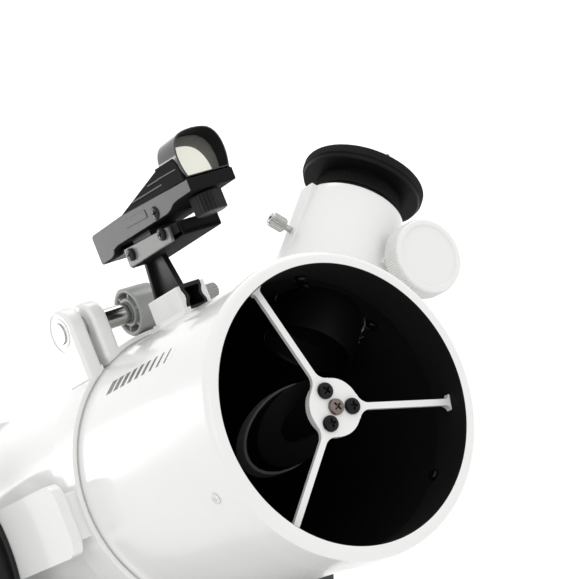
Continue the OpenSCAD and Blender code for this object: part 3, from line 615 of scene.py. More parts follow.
def build_tube():
    r0 = TUBE_R - WALL
    s = lathe([(TUBE_R, TUBE_LO.z), (TUBE_R, TUBE_HI.z), (r0, TUBE_HI.z), (r0, TUBE_LO.z)], 192,
        [0, 1, 1, 0])
    hole_r, slot_end, slot_half = 25.3, 27.4, 5.4
    hole = union(rod(hole_r, 40, TUBE_R + 8, 0, 96),
        block(15, slot_end, -slot_half, slot_half, 40, TUBE_R + 8))
    hole = hole.moved(between(FOCUS, TUBE))
    make("main_tube", minus(s, hole.painted(1)), [WHITE_PRINTED, INNER], name="tube_shell")
    skirt, lap = RING_LO.z + 4, RING_LO.z + 18
    inner = arc(RIM_R + LIP_IN, -LIP_IN, LIP_IN, 180, 90, 6)
    profile = [(RIM_R, skirt)] + inner + arc(RING_R - LIP, -LIP, LIP, 90, 0, 10)
    profile += [(RING_R, RING_LO.z + 0.5), (RING_R - 0.5, RING_LO.z), (TUBE_R, RING_LO.z), (TUBE_R, lap),
        (TUBE_R - WALL, lap), (TUBE_R - WALL, skirt)]
    mats = [1] * 5 + [0] * (len(profile) - 7) + [1, 1]
    make("front_ring", lathe(profile, 256, mats), [WHITE, INNER], name="front_rim")

    length = -span("rear_cell")[0].z
    screw = pan_head(2.9, 0.9, 1.5, RING_R - RIM_R + 0.6)
    seat = RIM_R - RING_R - 1.0
    nut = lathe([(1.5, seat), (3.1, seat), (3.1, seat - 1.2)] + arc(1.9, seat - 1.2, 1.2, 0, -90, 4) +
        [(1.5, seat - 2.4)], 32).painted(1)
    placed = []
    for a in (-165, -45, 75):
        for z in (-23, -length + 23):
            at = turned(a, "Z") @ Matrix.Translation((RING_R + 0.9, 0, z)) @ ALONG_X
            placed += [screw.moved(at), nut.moved(at)]
    make("ring_screws", together(placed), [BRIGHT, BLACK_SCREW])


SPIDER_Z = span("spider")[1].z
VANES = (-15, 105, 225)


def build_spider():
    hub_r, half, gusset = 15.0, 1.75, 7.0
    hub_t, vane_t = 4.0, 2.5
    corner = hub_r + 5.5
    side = arc(corner, half + gusset, gusset, 200, 270, 8)
    end = RIM_R - 1.0
    outline = both_ways([(6, 7)] + side + [(end, half)])
    s = rod(hub_r, -hub_t, 0, 0, 96)
    for a in VANES:
        s = union(s, prism(outline, -vane_t, 0).spun(a))
    s = soft(s, 0.45, 3, 40)
    for a in VANES:
        edge = [(RIM_R - 3.6, 1.7), (RIM_R - 2.2, 2.2), (RIM_R - 1.3, 3.1), (RIM_R - 0.9, 4.2),
            (RIM_R - 0.35, 4.2)]
        foot = soft(prism(both_ways(edge), -vane_t - 1.5, -0.02), 0.25, 2, 45)
        s = s + foot.spun(a)
    make("spider", s.shifted(0, 0, SPIDER_Z), WHITE)
    head = pan_head(4.25, 2.6, 1.95, hub_t + 1.9)
    s = together([head.spun(20 * i).shifted(9.65, 0, 0).spun(a) for i, a in enumerate(VANES)])
    make("secondary_screws", s.shifted(0, 0, SPIDER_Z + 2.6), BLACK_SCREW)
    middle = pan_head(4.25, 2.6, 1.95, hub_t + 8).spun(28)
    make("secondary_center_screw", middle.shifted(0, 0, SPIDER_Z + 2.6), BRONZE,
        name="secondary_centre_finished")


def build_secondary():
    """Elliptical flat at 45 degrees, with its back plate and neck."""
    back = Vector((-0.5, -0.5, math.sqrt(0.5)))
    tilt = Vector((0, 0, 1)).rotation_difference(back).to_matrix().to_4x4()

    def layer(z0, z1):
        return block(-100, 100, -100, 100, z0, z1).moved(tilt)

    glass = common(rod(20, -50, 50, 0, 128), layer(0, 6))
    plate = common(rod(19, -60, 60, 0, 128), layer(6, 14))
    high = span("secondary_holder")[1]
    origin = (FOCUS.translation - TUBE.translation).dot(TUBE.col[2].to_3d()) / MM
    neck = minus(rod(8, 0, high.z - origin, 0.6), layer(-100, 8))
    plate = soft(plate, 0.7, 2, 40)
    bm = to_bm(soft(glass, 0.35, 2, 40))
    bm.normal_update()
    for f in bm.faces:
        f.material_index = 0 if f.normal.dot(-back) > 0.97 else 1
    make("secondary_mirror", from_bm(bm).shifted(0, 0, origin), [MIRROR, GLASS_EDGE], "secondary",
        name="secondary_flat")
    make("secondary_holder", (plate + neck).shifted(0, 0, origin), BLACK_METAL, "secondary")


# ---------- focuser ----------

KNOB_LO, KNOB_HI = span("focus_knob_front", FOCUS)
PINION = ((KNOB_LO.x + KNOB_HI.x) / 2, (KNOB_LO.z + KNOB_HI.z) / 2)
DRAW_LO, DRAW_HI = span("drawtube", FOCUS)
DRAW_R = DRAW_HI.x if DRAW_HI.x < 26 else DRAW_HI.y


def build_focuser():
    top = DRAW_HI.z - 3
    flare = arc(48, 93, 16, 250, 186, 14)
    profile = [(0, 50), (43, 50), (43, 75.2), (42.7, 76.4)] + flare[1:]
    profile += [(28.9, top - 4.5), (28.5, top - 2.6)] + arc(26.3, top - 2, 2, 20, 90, 5) + [(0, top)]
    s = lathe(profile, 144)
    half = -KNOB_HI.y - 0.9
    boss = rod(9.5, -half, half, 0.6, 64).lying(ALONG_Y, PINION[0], 0, PINION[1])
    s = union(s, boss)
    cheek = soft(block(12, PINION[0], -half, half, PINION[1] - 9.5, PINION[1] + 9.5), 0.5)
    s = union(s, cheek)
    pad = soft(block(-31.4, -DRAW_R, -6, 6, 78, top - 1.5), 0.8)
    s = union(s, pad)
    lo, hi = span("focuser_lock_screw", FOCUS)
    lock_z = (lo.z + hi.z) / 2
    bore = DRAW_R + 0.3
    s = minus(s, rod(bore, 0, top + 5, 0, 128), block(15, 27.2, -5.2, 5.2, 0, top + 5),
        rod(2.6, -60, 60, 0).lying(ALONG_Y, PINION[0], 0, PINION[1]),
        rod(5.8, -7.5, 7.5, 0).lying(ALONG_Y, PINION[0], 0, PINION[1]),
        rod(1.9, 10, 40, 0, 32).moved(turned(-90, "Y")).shifted(0, 0, lock_z))
    tube = rod(TUBE_R + 0.02, -600, 0, 0, 192).moved(between(TUBE, FOCUS))
    ring = rod(RING_R + 0.1, -31, 0, 0, 192).moved(between(TUBE, FOCUS))
    s = minus(s, tube, ring)

    def inside(face):
        points = [s.verts[i] for i in face]
        return max(math.hypot(p.x, p.y) for p in points) < 28 and max(p.z for p in points) < top - 1

    s.mats = [1 if inside(f) else 0 for f in s.faces]
    make("focuser_housing", s, [WHITE, INNER], at=FOCUS, crease=30, name="focuser_body")
    lo, hi = span("focuser_fasteners", FOCUS)
    head_r = 3.2
    screw = pan_head(head_r, 2.2, 1.5, 9).moved(turned(180, "X"))
    places = [(x, y) for x in (lo.x + head_r, hi.x - head_r) for y in (lo.y + head_r, hi.y - head_r)]
    s = together([screw.shifted(x, y, lo.z) for x, y in places])
    make("focuser_fasteners", s, BLACK_SCREW, at=FOCUS, name="focuser_screws_finished")

    low, high = DRAW_LO.z, DRAW_HI.z
    r0 = 22.0
    threads = []
    z = low + 1
    while z < low + 14:
        threads += [(r0 + 0.35, z), (r0, z + 0.4)]
        z += 0.8
    profile = [(r0 + 0.8, low), (DRAW_R - 0.4, low), (DRAW_R, low + 0.4), (DRAW_R, high - 0.4),
        (DRAW_R - 0.4, high), (r0 + 0.4, high), (r0, high - 0.4)] + list(reversed(threads))
    s = minus(lathe(profile, 128), block(23.2, 30, -4.3, 4.3, low - 1, high + 1))
    make("drawtube", s, BLACK_METAL, "focus_slide", FOCUS)


INDEX_ANGLE = -100


def build_rings():
    lo, hi = span("t_adapter_ring", FOCUS)
    r = hi.x
    base, top = lo.z, hi.z - 2
    profile = [(20, base), (r - 1.4, base), (r - 0.7, base + 0.3), (r - 0.1, base + 0.8, 0.45),
        (r, base + 1.6, 0.45), (r, top - 1.7, 0.45), (r - 0.1, top - 1.0, 0.45), (r - 0.8, top - 0.4),
        (r - 1.6, top), (23, top), (23, hi.z), (20, hi.z)]
    make("t_adapter_ring", lathe(profile, 720, 0, 120), BLACK_METAL, "focus_slide", FOCUS,
        name="adapter_lower_ring")
    lo, hi = span("camera_ring", FOCUS)
    r = hi.x
    base, shoulder = lo.z, hi.z - 2.5
    profile = [(21, base), (30.8, base), (31.6, base + 0.25)] + arc(r - 2.4, base + 1.3, 1.3, -60, 0, 4)
    profile += [(r - 1.1, base + 2.6), (r - 0.35, base + 2.9), (r, base + 3.3, 0.3),
        (r, shoulder - 1.6, 0.3), (r - 0.4, shoulder - 0.9), (r - 1.2, shoulder - 0.35),
        (r - 2.0, shoulder), (27.2, shoulder), (27, shoulder + 0.2), (27, hi.z - 0.3), (26.7, hi.z),
        (24.3, hi.z), (24, hi.z - 0.3), (24, hi.z - 1.6), (21.4, hi.z - 1.6), (21, hi.z - 2)]
    s = lathe(profile, 1080, 0, 180)
    dot = rod(1.05, r - 1.75, r - 0.95, 0.2, 24).lying(ALONG_X, 0, 0, shoulder - 0.75)
    dot = dot.spun(INDEX_ANGLE).painted(1)
    make("camera_ring", s + dot, [BLACK_METAL, RED], "focus_slide", FOCUS, name="adapter_camera_ring")


def gear(outer, root, teeth, width):
    out = []
    for i in range(teeth):
        for share, r in ((-0.32, root), (-0.16, (outer + root) / 2), (-0.07, outer), (0.07, outer),
                (0.16, (outer + root) / 2), (0.32, root)):
            a = TURN * (i + share) / teeth + math.pi
            out.append((r * math.cos(a), r * math.sin(a)))
    return prism(out, -width / 2, width / 2)


def build_drive():
    lo, hi = span("pinion_shaft", FOCUS)
    shaft = rod(2.5, lo.y, hi.y, 0.5, 40).moved(ALONG_Y)
    s = shaft + gear(5.04, 3.45, 11, 12).moved(ALONG_Y)
    make("pinion_shaft", s.shifted(PINION[0], 0, PINION[1]), BRIGHT, "focus_shaft", FOCUS,
        name="pinion_finished")
    r = (KNOB_HI.x - KNOB_LO.x) / 2
    t = KNOB_HI.y - KNOB_LO.y
    ledge = r * 0.8
    profile = [(2.5, 0), (r - 2.6, 0), (r - 1.2, 0.3), (r - 0.5, 0.9, 0.4), (r, 1.6, 0.7),
        (r, t - 2.4, 0.7), (r - 0.35, t - 1.6, 0.4)]
    profile += arc(r - 1.9, t - 1.3, 1.3, 20, 90, 6)
    profile += [(ledge + 0.9, t), (ledge + 0.3, t - 0.12), (ledge, t - 0.7), (ledge - 0.5, t - 0.95),
        (0, t - 1.0), (0, t - 3), (2.5, t - 3)]
    knob = lathe(profile, 576, 0, 96)
    front = knob.moved(turned(90, "X")).shifted(PINION[0], KNOB_HI.y, PINION[1])
    make("focus_knob_front", front, WHITE, "focus_shaft", FOCUS, name="knob_front_finished")
    rear = knob.moved(turned(-90, "X")).shifted(PINION[0], span("focus_knob_rear", FOCUS)[0].y, PINION[1])
    make("focus_knob_rear", rear, WHITE, "focus_shaft", FOCUS, name="knob_rear_finished")

    lo, hi = span("focuser_lock_screw", FOCUS)
    head_r = (hi.z - lo.z) / 2
    z = (hi.z + lo.z) / 2
    inner, end = -hi.x, -lo.x
    profile = [(0, inner), (1.4, inner), (1.8, inner + 0.4), (1.8, end - 9.5), (2.6, end - 9.5),
        (head_r - 0.7, end - 9.1), (head_r - 0.2, end - 8.6, 0.15), (head_r, end - 8.2, 0.65),
        (head_r, end - 1.2, 0.65), (head_r - 0.3, end - 0.7, 0.15), (head_r - 1.0, end), (2.0, end),
        (1.6, end - 0.5), (0, end - 0.6)]
    s = lathe(profile, 180, 0, 18).moved(turned(-90, "Y")).shifted(0, 0, z)
    make("focuser_lock_screw", s, NICKEL, "focus_lock", FOCUS, name="lock_screw_finished")


# ---------- finder ----------

BODY_LO, BODY_HI = span("finder_body")
HOOD_LO, HOOD_HI = span("finder_hood")
HALF = BODY_HI.x


def hood_arch(k=1.0, z=None):
    """Rounded arch, widest at mid height, scaled by k about its middle and cut flat at its foot."""
    side = [(13.4, 137), (14.6, 141.4), (15.2, 146), (15, 151.5), (13.4, 156.5), (10.2, 160), (5.4, 161.4),
        (0, 161.7)]
    half = [(x * k, 148 + (y - 148) * k) for x, y in eased(side)]
    outline = half + [(-x, y) for x, y in reversed(half[:-1])]
    return outline if z is None else [(x, y, z) for x, y in outline]


def build_finder():
    back, front = BODY_LO.z, BODY_HI.z
    side = [(back, 123.2), (-134.5, 123.2), (-131.5, 124.0), (-129, 126.6), (-124, 127.4), (-66, 126.3),
        (-61.5, 127.2), (-57, 129.0), (-52, 129.4), (front, 129.4), (front, 136.2), (-62, 137.6),
        (-111, 140.4), (back, 140.4)]
    base = soft(slab(rounded(side, [1.5, 2, 2, 2, 2, 2, 2, 2, 1, 1, 0.8, 1, 1, 2.2]), -HALF, HALF), 0.7, 3,
        40)
    tongue = soft(block(-9, 9, 118, 130, -117, -97), 0.5)

    def station(z, top, w_top, w, foot):
        return [(-w, foot, z), (-w_top, top, z), (w_top, top, z), (w, foot, z)]

    wedge = soft(skinned([station(-112.5, 140.6, 13.0, 14.0, 139.0), station(-62, 149.7, 13.9, 14.7, 137.4),
        station(-57.2, 149.8, 14.2, 14.9, 137.2)], False), 0.9, 3, 30)
    ribs = []
    for s in (-1, 1):
        cheek = [[(13.2, h0, z), (14.2, 149.6 - lean, z), (15.75, 149.6 - lean, z), (15.3, 143, z),
            (14.9, h0, z)] for z, h0, lean in ((-60, 137.2, -0.1), (-50, 136.8, 0.2), (-41.5, 136.6, 0.5),
            (-39.3, 136.4, 4.5))]
        ribs.append(soft(skinned([[(s * x, y, z) for x, y, z in ring] for ring in cheek], False), 0.35, 3,
            25).painted(3))
        # The rib strips are real raised ribs, but their lighter grey on the black cheeks is a painted
        # highlight along each rib.
        for z0, z1, h0, h1, x in ((-94, -60, 142.6, 141.3, 14.45), (-74, -60, 145.0, 144.5, 14.45),
                (-61, -42, 144.5, 143.5, 15.35)):
            rib = [[(x - 0.6, h - 0.4, z), (x - 0.6, h + 0.4, z), (x + 0.3, h + 0.3, z),
                (x + 0.3, h - 0.3, z)] for z, h in ((z0, h0), (z1, h1))]
            ribs.append(soft(skinned([[(s * a, b, c) for a, b, c in ring] for ring in rib], False), 0.15, 2,
                30).painted(1))
    label = soft(slab(rounded([(-109, 132.6), (-85, 131.1), (-85, 135.6), (-109, 137.1)], 0.8),
        -HALF - 0.45, -HALF + 1), 0.25, 2)
    label = label + label.moved(FLIPPED_X)
    stud = pan_head(3.7, 1.5, 1.6, 4).moved(turned(-90, "Y")).shifted(-HALF - 0.9, 130.6, -76.4)
    pocket = block(-10, 10, 121, 137, -146.2, -126.2)
    base = minus(base, pocket)
    # Faces turned forward or downward take the black satin plastic and the rest take the grey: this is
    # painted shade on the front and underside of one grey plastic body.
    bm = to_bm(base)
    bm.normal_update()
    for f in bm.faces:
        f.material_index = 3 if f.normal.z > 0.6 or f.normal.y < -0.5 else 1
    base = from_bm(bm)
    make("finder_body", base + tongue + wedge.painted(3) + together(ribs) + label.painted(1) +
        stud.painted(2), [PLASTIC, DARK_GREY, BLACK_SCREW, SATIN], "finder_head", name="finder_shell")

    z0, z1 = HOOD_LO.z, HOOD_HI.z
    shell = skinned([hood_arch(0.93, z0 - 1.2), hood_arch(0.975, z0 - 0.7), hood_arch(1.0, z0 + 0.8),
        hood_arch(1.0, z1 - 0.5), hood_arch(0.99, z1 - 0.1), hood_arch(0.97, z1),
        hood_arch(0.945, z1 - 0.1), hood_arch(0.935, z1 - 0.5), hood_arch(0.93, z0 + 1.4),
        hood_arch(0.62, z0 + 1.4), hood_arch(0.6, z0 - 0.8), hood_arch(0.62, z0 - 1.2)], True)
    around = len(shell.faces) // 12
    shell.mats = [1 if 6 <= i // around <= 8 else 0 for i in range(len(shell.faces))]
    make("finder_hood", shell, [GLOSS, SATIN], "finder_head", crease=50)

    lo, hi = span("finder_window")
    pane = prism(hood_arch(0.925), -0.7, 0.7).shifted(0, -lo.y, 0).moved(turned(-8, "X"))
    pane = pane.shifted(0, lo.y, hi.z - 0.8)
    make("finder_window", soft(pane, 0.15, 2, 50), WINDOW, "finder_head", name="finder_pane")

    lo, hi = span("finder_led")
    led = lathe([(0, lo.z), (1.5, lo.z), (1.5, hi.z - 1.3)] + arc(0, hi.z - 1.5, 1.5, 10, 90, 5), 32)
    make("finder_led", led.shifted(0, (lo.y + hi.y) / 2, 0), RED, "finder_head")

    lo, hi = span("brightness_wheel")
    r = (hi.x - lo.x) / 2
    wheel = ribbed(r, 11, 26, 0.9, 0.7, 8) + rod(2.5, 9, hi.y - lo.y, 0.3)
    wheel = wheel.moved(turned(-90, "X")).shifted((lo.x + hi.x) / 2, lo.y, (lo.z + hi.z) / 2)
    make("brightness_wheel", wheel, PLASTIC, "finder_dial")

    lo, hi = span("battery_cover")
    lid = minus(soft(block(lo.x, hi.x, lo.y, hi.y, lo.z, hi.z), 0.35),
        block(-6, 6, lo.y - 1, lo.y + 0.7, lo.z + 2, lo.z + 3.4))
    make("battery_cover", lid, PLASTIC, "finder_head", name="battery_lid")
    lo, hi = span("finder_battery")
    cell = rod((hi.x - lo.x) / 2, 0, hi.y - lo.y, 0.35, 64).moved(turned(-90, "X"))
    make("finder_battery", cell.shifted(0, lo.y, (lo.z + hi.z) / 2), STEEL, "finder_head", name="coin_cell")


def build_bracket():
    lo, hi = span("finder_bracket")
    back, front = lo.z, span("finder_shoe")[1].z - 3
    half, waist, low, top = 6.4, 5.2, 78.6, 93.0
    tail = [(-half, low), (half, low), (half, 82), (waist, 85), (waist, 87), (half, 90), (half, top),
        (-half, top), (-half, 90), (-waist, 87), (-waist, 85), (-half, 82)]
    hollow = [(-4.6, 80.4), (4.6, 80.4), (4.6, 82.4), (3.4, 85.2), (3.4, 86.8), (4.6, 89.4), (4.6, 90.8),
        (-4.6, 90.8), (-4.6, 89.4), (-3.4, 86.8), (-3.4, 85.2), (-4.6, 82.4)]
    foot = minus(soft(prism(tail, back, front + 0.5), 0.35, 2, 25),
        prism(rounded(hollow, 0.4, 2), back + 6, front + 4))

    def tapered(x, rear, ahead):
        """A plate from the foot up to the cradle, narrower in z at the top."""
        return soft(slab([(rear[0], 91.5), (ahead[0], 91.5), (ahead[1], 114), (rear[1], 114)], -x, x), 0.35,
            2, 40)

    web = tapered(1.2, (-125, -121), (-101, -106.5)) + tapered(4.5, (-126, -122), (-123.5, -119.5))
    web = web + tapered(1.7, (-102.4, -107.9), (-101, -106.5))
    cradle = soft(block(-12.5, 12.5, 113, 116, -122, -62), 0.5)
    for x in (-12.5, 10):
        cradle = cradle + soft(slab(rounded([(-122, 113), (-62, 113), (-62, 121), (-72, 121.6),
            (-122, 124.5)], 2), x, x + 2.5), 0.4, 2, 40)
    cradle = cradle + soft(block(-12.5, 12.5, 113, 121, -64.5, -62), 0.6)
    make("finder_bracket", foot + web + cradle.painted(1), [PLASTIC, SATIN], "finder_mount",
        name="finder_stem")
    lo, hi = span("finder_side_plate")
    outline = [(lo.z, 113.2), (-71.2, 112.9), (-71.0, 121.0), (lo.z, 123.7)]
    plate = soft(slab(rounded(outline, 1.2), lo.x, hi.x), 0.4, 3, 40)
    make("finder_side_plate", plate, PLATE, "finder_mount", name="finder_clamp_plate")
    lo, hi = span("finder_screws")
    head = pan_head(3.5, 1.9, 1.7, 26).moved(turned(-90, "Y"))
    s = together([head.shifted(lo.x - 0.2, 119, z) for z in (-113, -77)])
    make("finder_screws", s, BLACK_SCREW, "finder_mount")

    lo, hi = span("finder_shoe")
    wall = half + 2.9
    box = soft(block(-wall, wall, TUBE_R - 4, hi.y, back, front), 0.7)
    flare = soft(prism(rounded([(-17, TUBE_R - 5), (17, TUBE_R - 5), (wall, TUBE_R + 2.6),
        (-wall, TUBE_R + 2.6)], [0.5, 0.5, 1.5, 1.5]), lo.z, hi.z), 0.6)
    grown = [(x + math.copysign(0.3, x), y - (0.3 if y < 80 else 0)) for x, y in tail[:6]] + [(6.7, 99),
        (-6.7, 99)]
    grown += [(x + math.copysign(0.3, x), y) for x, y in tail[8:]]
    lo, hi = span("shoe_thumbscrew")
    y, z = (lo.y + hi.y) / 2, (lo.z + hi.z) / 2
    s = minus(union(box, flare), prism(grown, -140, -80), rod(TUBE_R, -560, 0, 0, 192),
        rod(2.05, waist, wall + 3, 0, 24).lying(ALONG_X, 0, y, z))
    make("finder_shoe", s, WHITE, name="shoe_finished")
    grip_r = (hi.y - lo.y) / 2
    s = rod(2, lo.x, hi.x - 5, 0.3, 32) + ribbed(grip_r, 7.5, 18, 0.6, 0.7, 6).shifted(0, 0, hi.x - 7.5)
    make("shoe_thumbscrew", s.lying(ALONG_X, 0, y, z), GREY, "shoe_screw", name="shoe_screw_finished")


# ---------- clamps ----------

BAND_R0, BAND_R1 = 78.3, 81.1
LUG_X = -36.0
LUG_GAP = 4.5
LUG_T = 10.0


def clamp_half(z, side, bolt_y):
    """One half of a clamp band with its rounded lug and its hinge knuckles; side is -1 left, 1 right."""
    width = 26.0
    split = 90 + math.degrees(math.asin(-LUG_X / (BAND_R0 + 1.4)))
    z0 = z - width / 2
    band = lathe([(BAND_R0, z0 + 0.4), (BAND_R0 + 0.4, z0), (BAND_R1 - 0.8, z0), (BAND_R1 - 0.2, z0 + 0.25),
        (BAND_R1, z0 + 0.9), (BAND_R1, z0 + width - 0.9), (BAND_R1 - 0.2, z0 + width - 0.25),
        (BAND_R1 - 0.8, z0 + width), (BAND_R0 + 0.4, z0 + width), (BAND_R0, z0 + width - 0.4)], 192)
    keep = block(-200, 200, *sorted((0, -200 * side)), -700, 100)
    band = common(band, keep.spun(split))
    split_x = LUG_X + side * LUG_GAP / 2
    lug_x = split_x - LUG_T if side < 0 else split_x
    top = [(z0, 64), (z0, bolt_y)] + arc(z, bolt_y, width / 2, 180, 0, 20)[1:] + [(z0 + width, 64)]
    lug = soft(slab(top, lug_x, lug_x + LUG_T), 2.6, 5, 40)
    if side < 0:
        groove = lathe([(8.2, -1), (10.8, -1), (10.8, 0.55), (8.2, 0.55)], 64)
        lug = minus(lug, groove.lying(ALONG_X, lug_x, bolt_y, z))
    gap = block(*sorted((split_x, split_x - 30 * side)), 60, 120, z0 - 1, z0 + width + 1)
    s = minus(union(band, lug), rod(BAND_R0 - 0.001, -700, 50, 0, 192), gap,
        rod(6.05, -80, 20, 0, 48).lying(ALONG_X, 0, bolt_y, z))
    knuckle = width / 3
    hinge_r = BAND_R1 + 4
    place = turned(split + 180, "Z") @ Matrix.Translation((hinge_r, 0, z0))
    tube_l = lathe([(2.05, 0), (4.4, 0), (5, 0.6), (5, knuckle - 0.8), (4.4, knuckle - 0.2),
        (2.05, knuckle - 0.2)], 48)
    offsets = (0.6, 2 * knuckle - 0.4) if side < 0 else (knuckle + 0.1,)
    arms = Solid()
    for at in offsets:
        arms = arms + tube_l.shifted(0, 0, at).moved(place)
        web = soft(block(-4.6, -2.2, *sorted((0.5 * side, -4.5 * side)), at, at + knuckle - 0.3), 0.3)
        arms = arms + web.moved(place)
    return s + arms


def build_clamps():
    for name in ("front", "rear"):
        lo, hi = span(f"clamp_{name}_right")
        z = (lo.z + hi.z) / 2
        blo, bhi = span(f"clamp_bolt_{name}")
        y = (blo.y + bhi.y) / 2
        for side, label in ((-1, "left"), (1, "right")):
            make(f"clamp_{name}_{label}", clamp_half(z, side, y), WHITE)
        r = (bhi.y - blo.y) / 2
        shaft = rod(r, blo.x, bhi.x, 0.5, 64)
        head = lathe([(0, blo.x + 0.02), (4.0, blo.x + 0.02), (4.0, blo.x + 0.5), (0, blo.x + 0.5)], 6)
        make(f"clamp_bolt_{name}", minus(shaft, head.shifted(0, 0, -0.4)).lying(ALONG_X, 0, y, z), NICKEL,
            f"clamp_hand_{name}")
        klo, khi = span(f"clamp_knob_{name}")
        kr = 14.0
        depth = khi.x - klo.x
        profile = [(r + 0.02, 0.4), (r + 0.5, 0), (r + 1.8, 0), (r + 2.1, 0.4), (r + 2.1, 9), (kr - 3.2, 9),
            (kr - 3.0, 0.9), (kr - 2.6, 0.3), (kr - 2.0, 0), (kr - 0.9, 0.1), (kr - 0.2, 0.6, 0.2),
            (kr, 1.4, 0.9), (kr, depth - 4.5, 1.3), (kr - 0.6, depth - 2.2, 1.3),
            (kr - 2.0, depth - 0.8, 0.6), (kr - 4.2, depth - 0.1), (0, depth), (0, 10), (r + 0.02, 10)]
        cup = lathe(profile, 216, 0, 9)
        for k in range(6):
            cup = cup + soft(block(r + 1.8, kr - 2.8, -0.6, 0.6, 0.9, 9.2), 0.2, 2).spun(60 * k)
        make(f"clamp_knob_{name}", cup.lying(ALONG_X, klo.x, y, z), GREY, f"clamp_hand_{name}")


# ---------- rear cell ----------

def coil(r, wire, z0, z1, turns, n=30, ring=8):
    outlines = []
    total = turns * n
    for i in range(total + 1):
        a = TURN * i / n
        z = z0 + wire + (z1 - z0 - 2 * wire) * i / total
        c = Vector((r * math.cos(a), r * math.sin(a), z))
        out = Vector((math.cos(a), math.sin(a), 0))
        outlines.append([c + out * wire * math.cos(TURN * k / ring) +
            Vector((0, 0, wire * math.sin(TURN * k / ring))) for k in range(ring)])
    return skinned(outlines, False)


CELL_ANGLES = (-90, 30, 150)
CELL_SCREWS_R = 45
MIRROR_CURVE = 2600  # twice the mirror's radius of curvature, four times its 650 mm focal length


def build_cell():
    lo, hi = span("collimation_springs")
    coils = []
    for a in CELL_ANGLES:
        coils.append(coil(4.9, 0.6, lo.z, hi.z, 6).shifted(*polar(CELL_SCREWS_R, a), 0))
    make("collimation_springs", together(coils), BRIGHT, name="collimation_coils")

    end = span("rear_cell")[0].z
    profile = [(RIM_R, end + 26), (RIM_R, end + LIP + 1)]
    profile += arc(RIM_R + LIP, end + LIP, LIP, 180, 270, 8) + arc(RING_R - LIP, end + LIP, LIP, 270, 360,
        8)
    profile += [(RING_R, end + 29.65), (RING_R - 0.35, end + 30), (TUBE_R, end + 30), (TUBE_R, end + 12),
        (TUBE_R - WALL, end + 12), (TUBE_R - WALL, end + 26)]
    s = lathe(profile, 192)
    z0, z1 = end + 9, end + 15
    plate = rod(20, z0, z1, 0, 64)
    for a in CELL_ANGLES:
        plate = union(plate, block(0, RIM_R + 0.6, -9, 9, z0, z1).spun(a),
            block(0, RIM_R + 0.6, -6, 6, z0, z1).spun(a + 60))
    plate = soft(plate, 0.8, 3, 40)
    make("rear_cell", s + plate, BLACK_METAL)

    lo, hi = span("primary_mirror")
    r = hi.x
    face = [(r * (1 - i / 16), hi.z - (r * r - (r * (1 - i / 16)) ** 2) / MIRROR_CURVE) for i in range(17)]
    profile = [(0, lo.z), (r - 0.8, lo.z), (r, lo.z + 0.8), (r, hi.z - 0.8),
        (r - 0.8, hi.z - 0.02)] + face[1:]
    mats = [1, 1, 1, 1] + [0] * (len(profile) - 4)
    make("primary_mirror", lathe(profile, 160, mats), [MIRROR, GLASS_EDGE])
    lo, hi = span("mirror_plate")
    s = lathe([(12, lo.z), (hi.x - 0.8, lo.z), (hi.x, lo.z + 0.8), (hi.x, hi.z - 0.8), (hi.x - 0.8, hi.z),
        (12, hi.z)], 128)
    make("mirror_plate", s, BLACK_METAL)
    clips = []
    hook = rounded([(65, -531), (67.5, -531), (67.5, -506), (61, -506), (61, -508), (65, -508)], 0.8, 3)
    for a in CELL_ANGLES:
        clips.append(soft(prism(hook, -6, 6), 0.3, 2, 50).moved(turned(90, "X")).spun(a + 60))
    make("mirror_clips", together(clips), PLASTIC)
    lo, hi = span("cell_lock_screws")
    screw = minus(rod(4, lo.z, lo.z + 3, 0.5, 40), prism(ellipse_ring(0, 0, 2.0, 6), lo.z - 1, lo.z + 1.8))
    screw = screw + rod(2, lo.z + 2, hi.z, 0.2, 24)
    s = together([screw.shifted(*polar(CELL_SCREWS_R, a + 60), 0) for a in CELL_ANGLES])
    make("cell_lock_screws", s, BLACK_METAL, name="lock_screws_finished")
    for i in (1, 2, 3):
        lo, hi = span(f"collimation_knob_{i}")
        knob = ribbed(9.35, 13.7, 14, 1.1, 1.2, 10) + rod(2.5, 12, hi.z - lo.z, 0.3, 32)
        knob = knob.shifted((lo.x + hi.x) / 2, (lo.y + hi.y) / 2, lo.z)
        make(f"collimation_knob_{i}", knob, PLASTIC, f"collimator_{i}")


# ---------- altitude bearings and rocker base ----------

# inner and outer face of the side bars, and inner face of the side boards, from the tube's middle
BAR_IN, BAR_OUT = 88.0, 94.0
BOARD_IN = 98.0
THIRDS = (90, 210, 330)


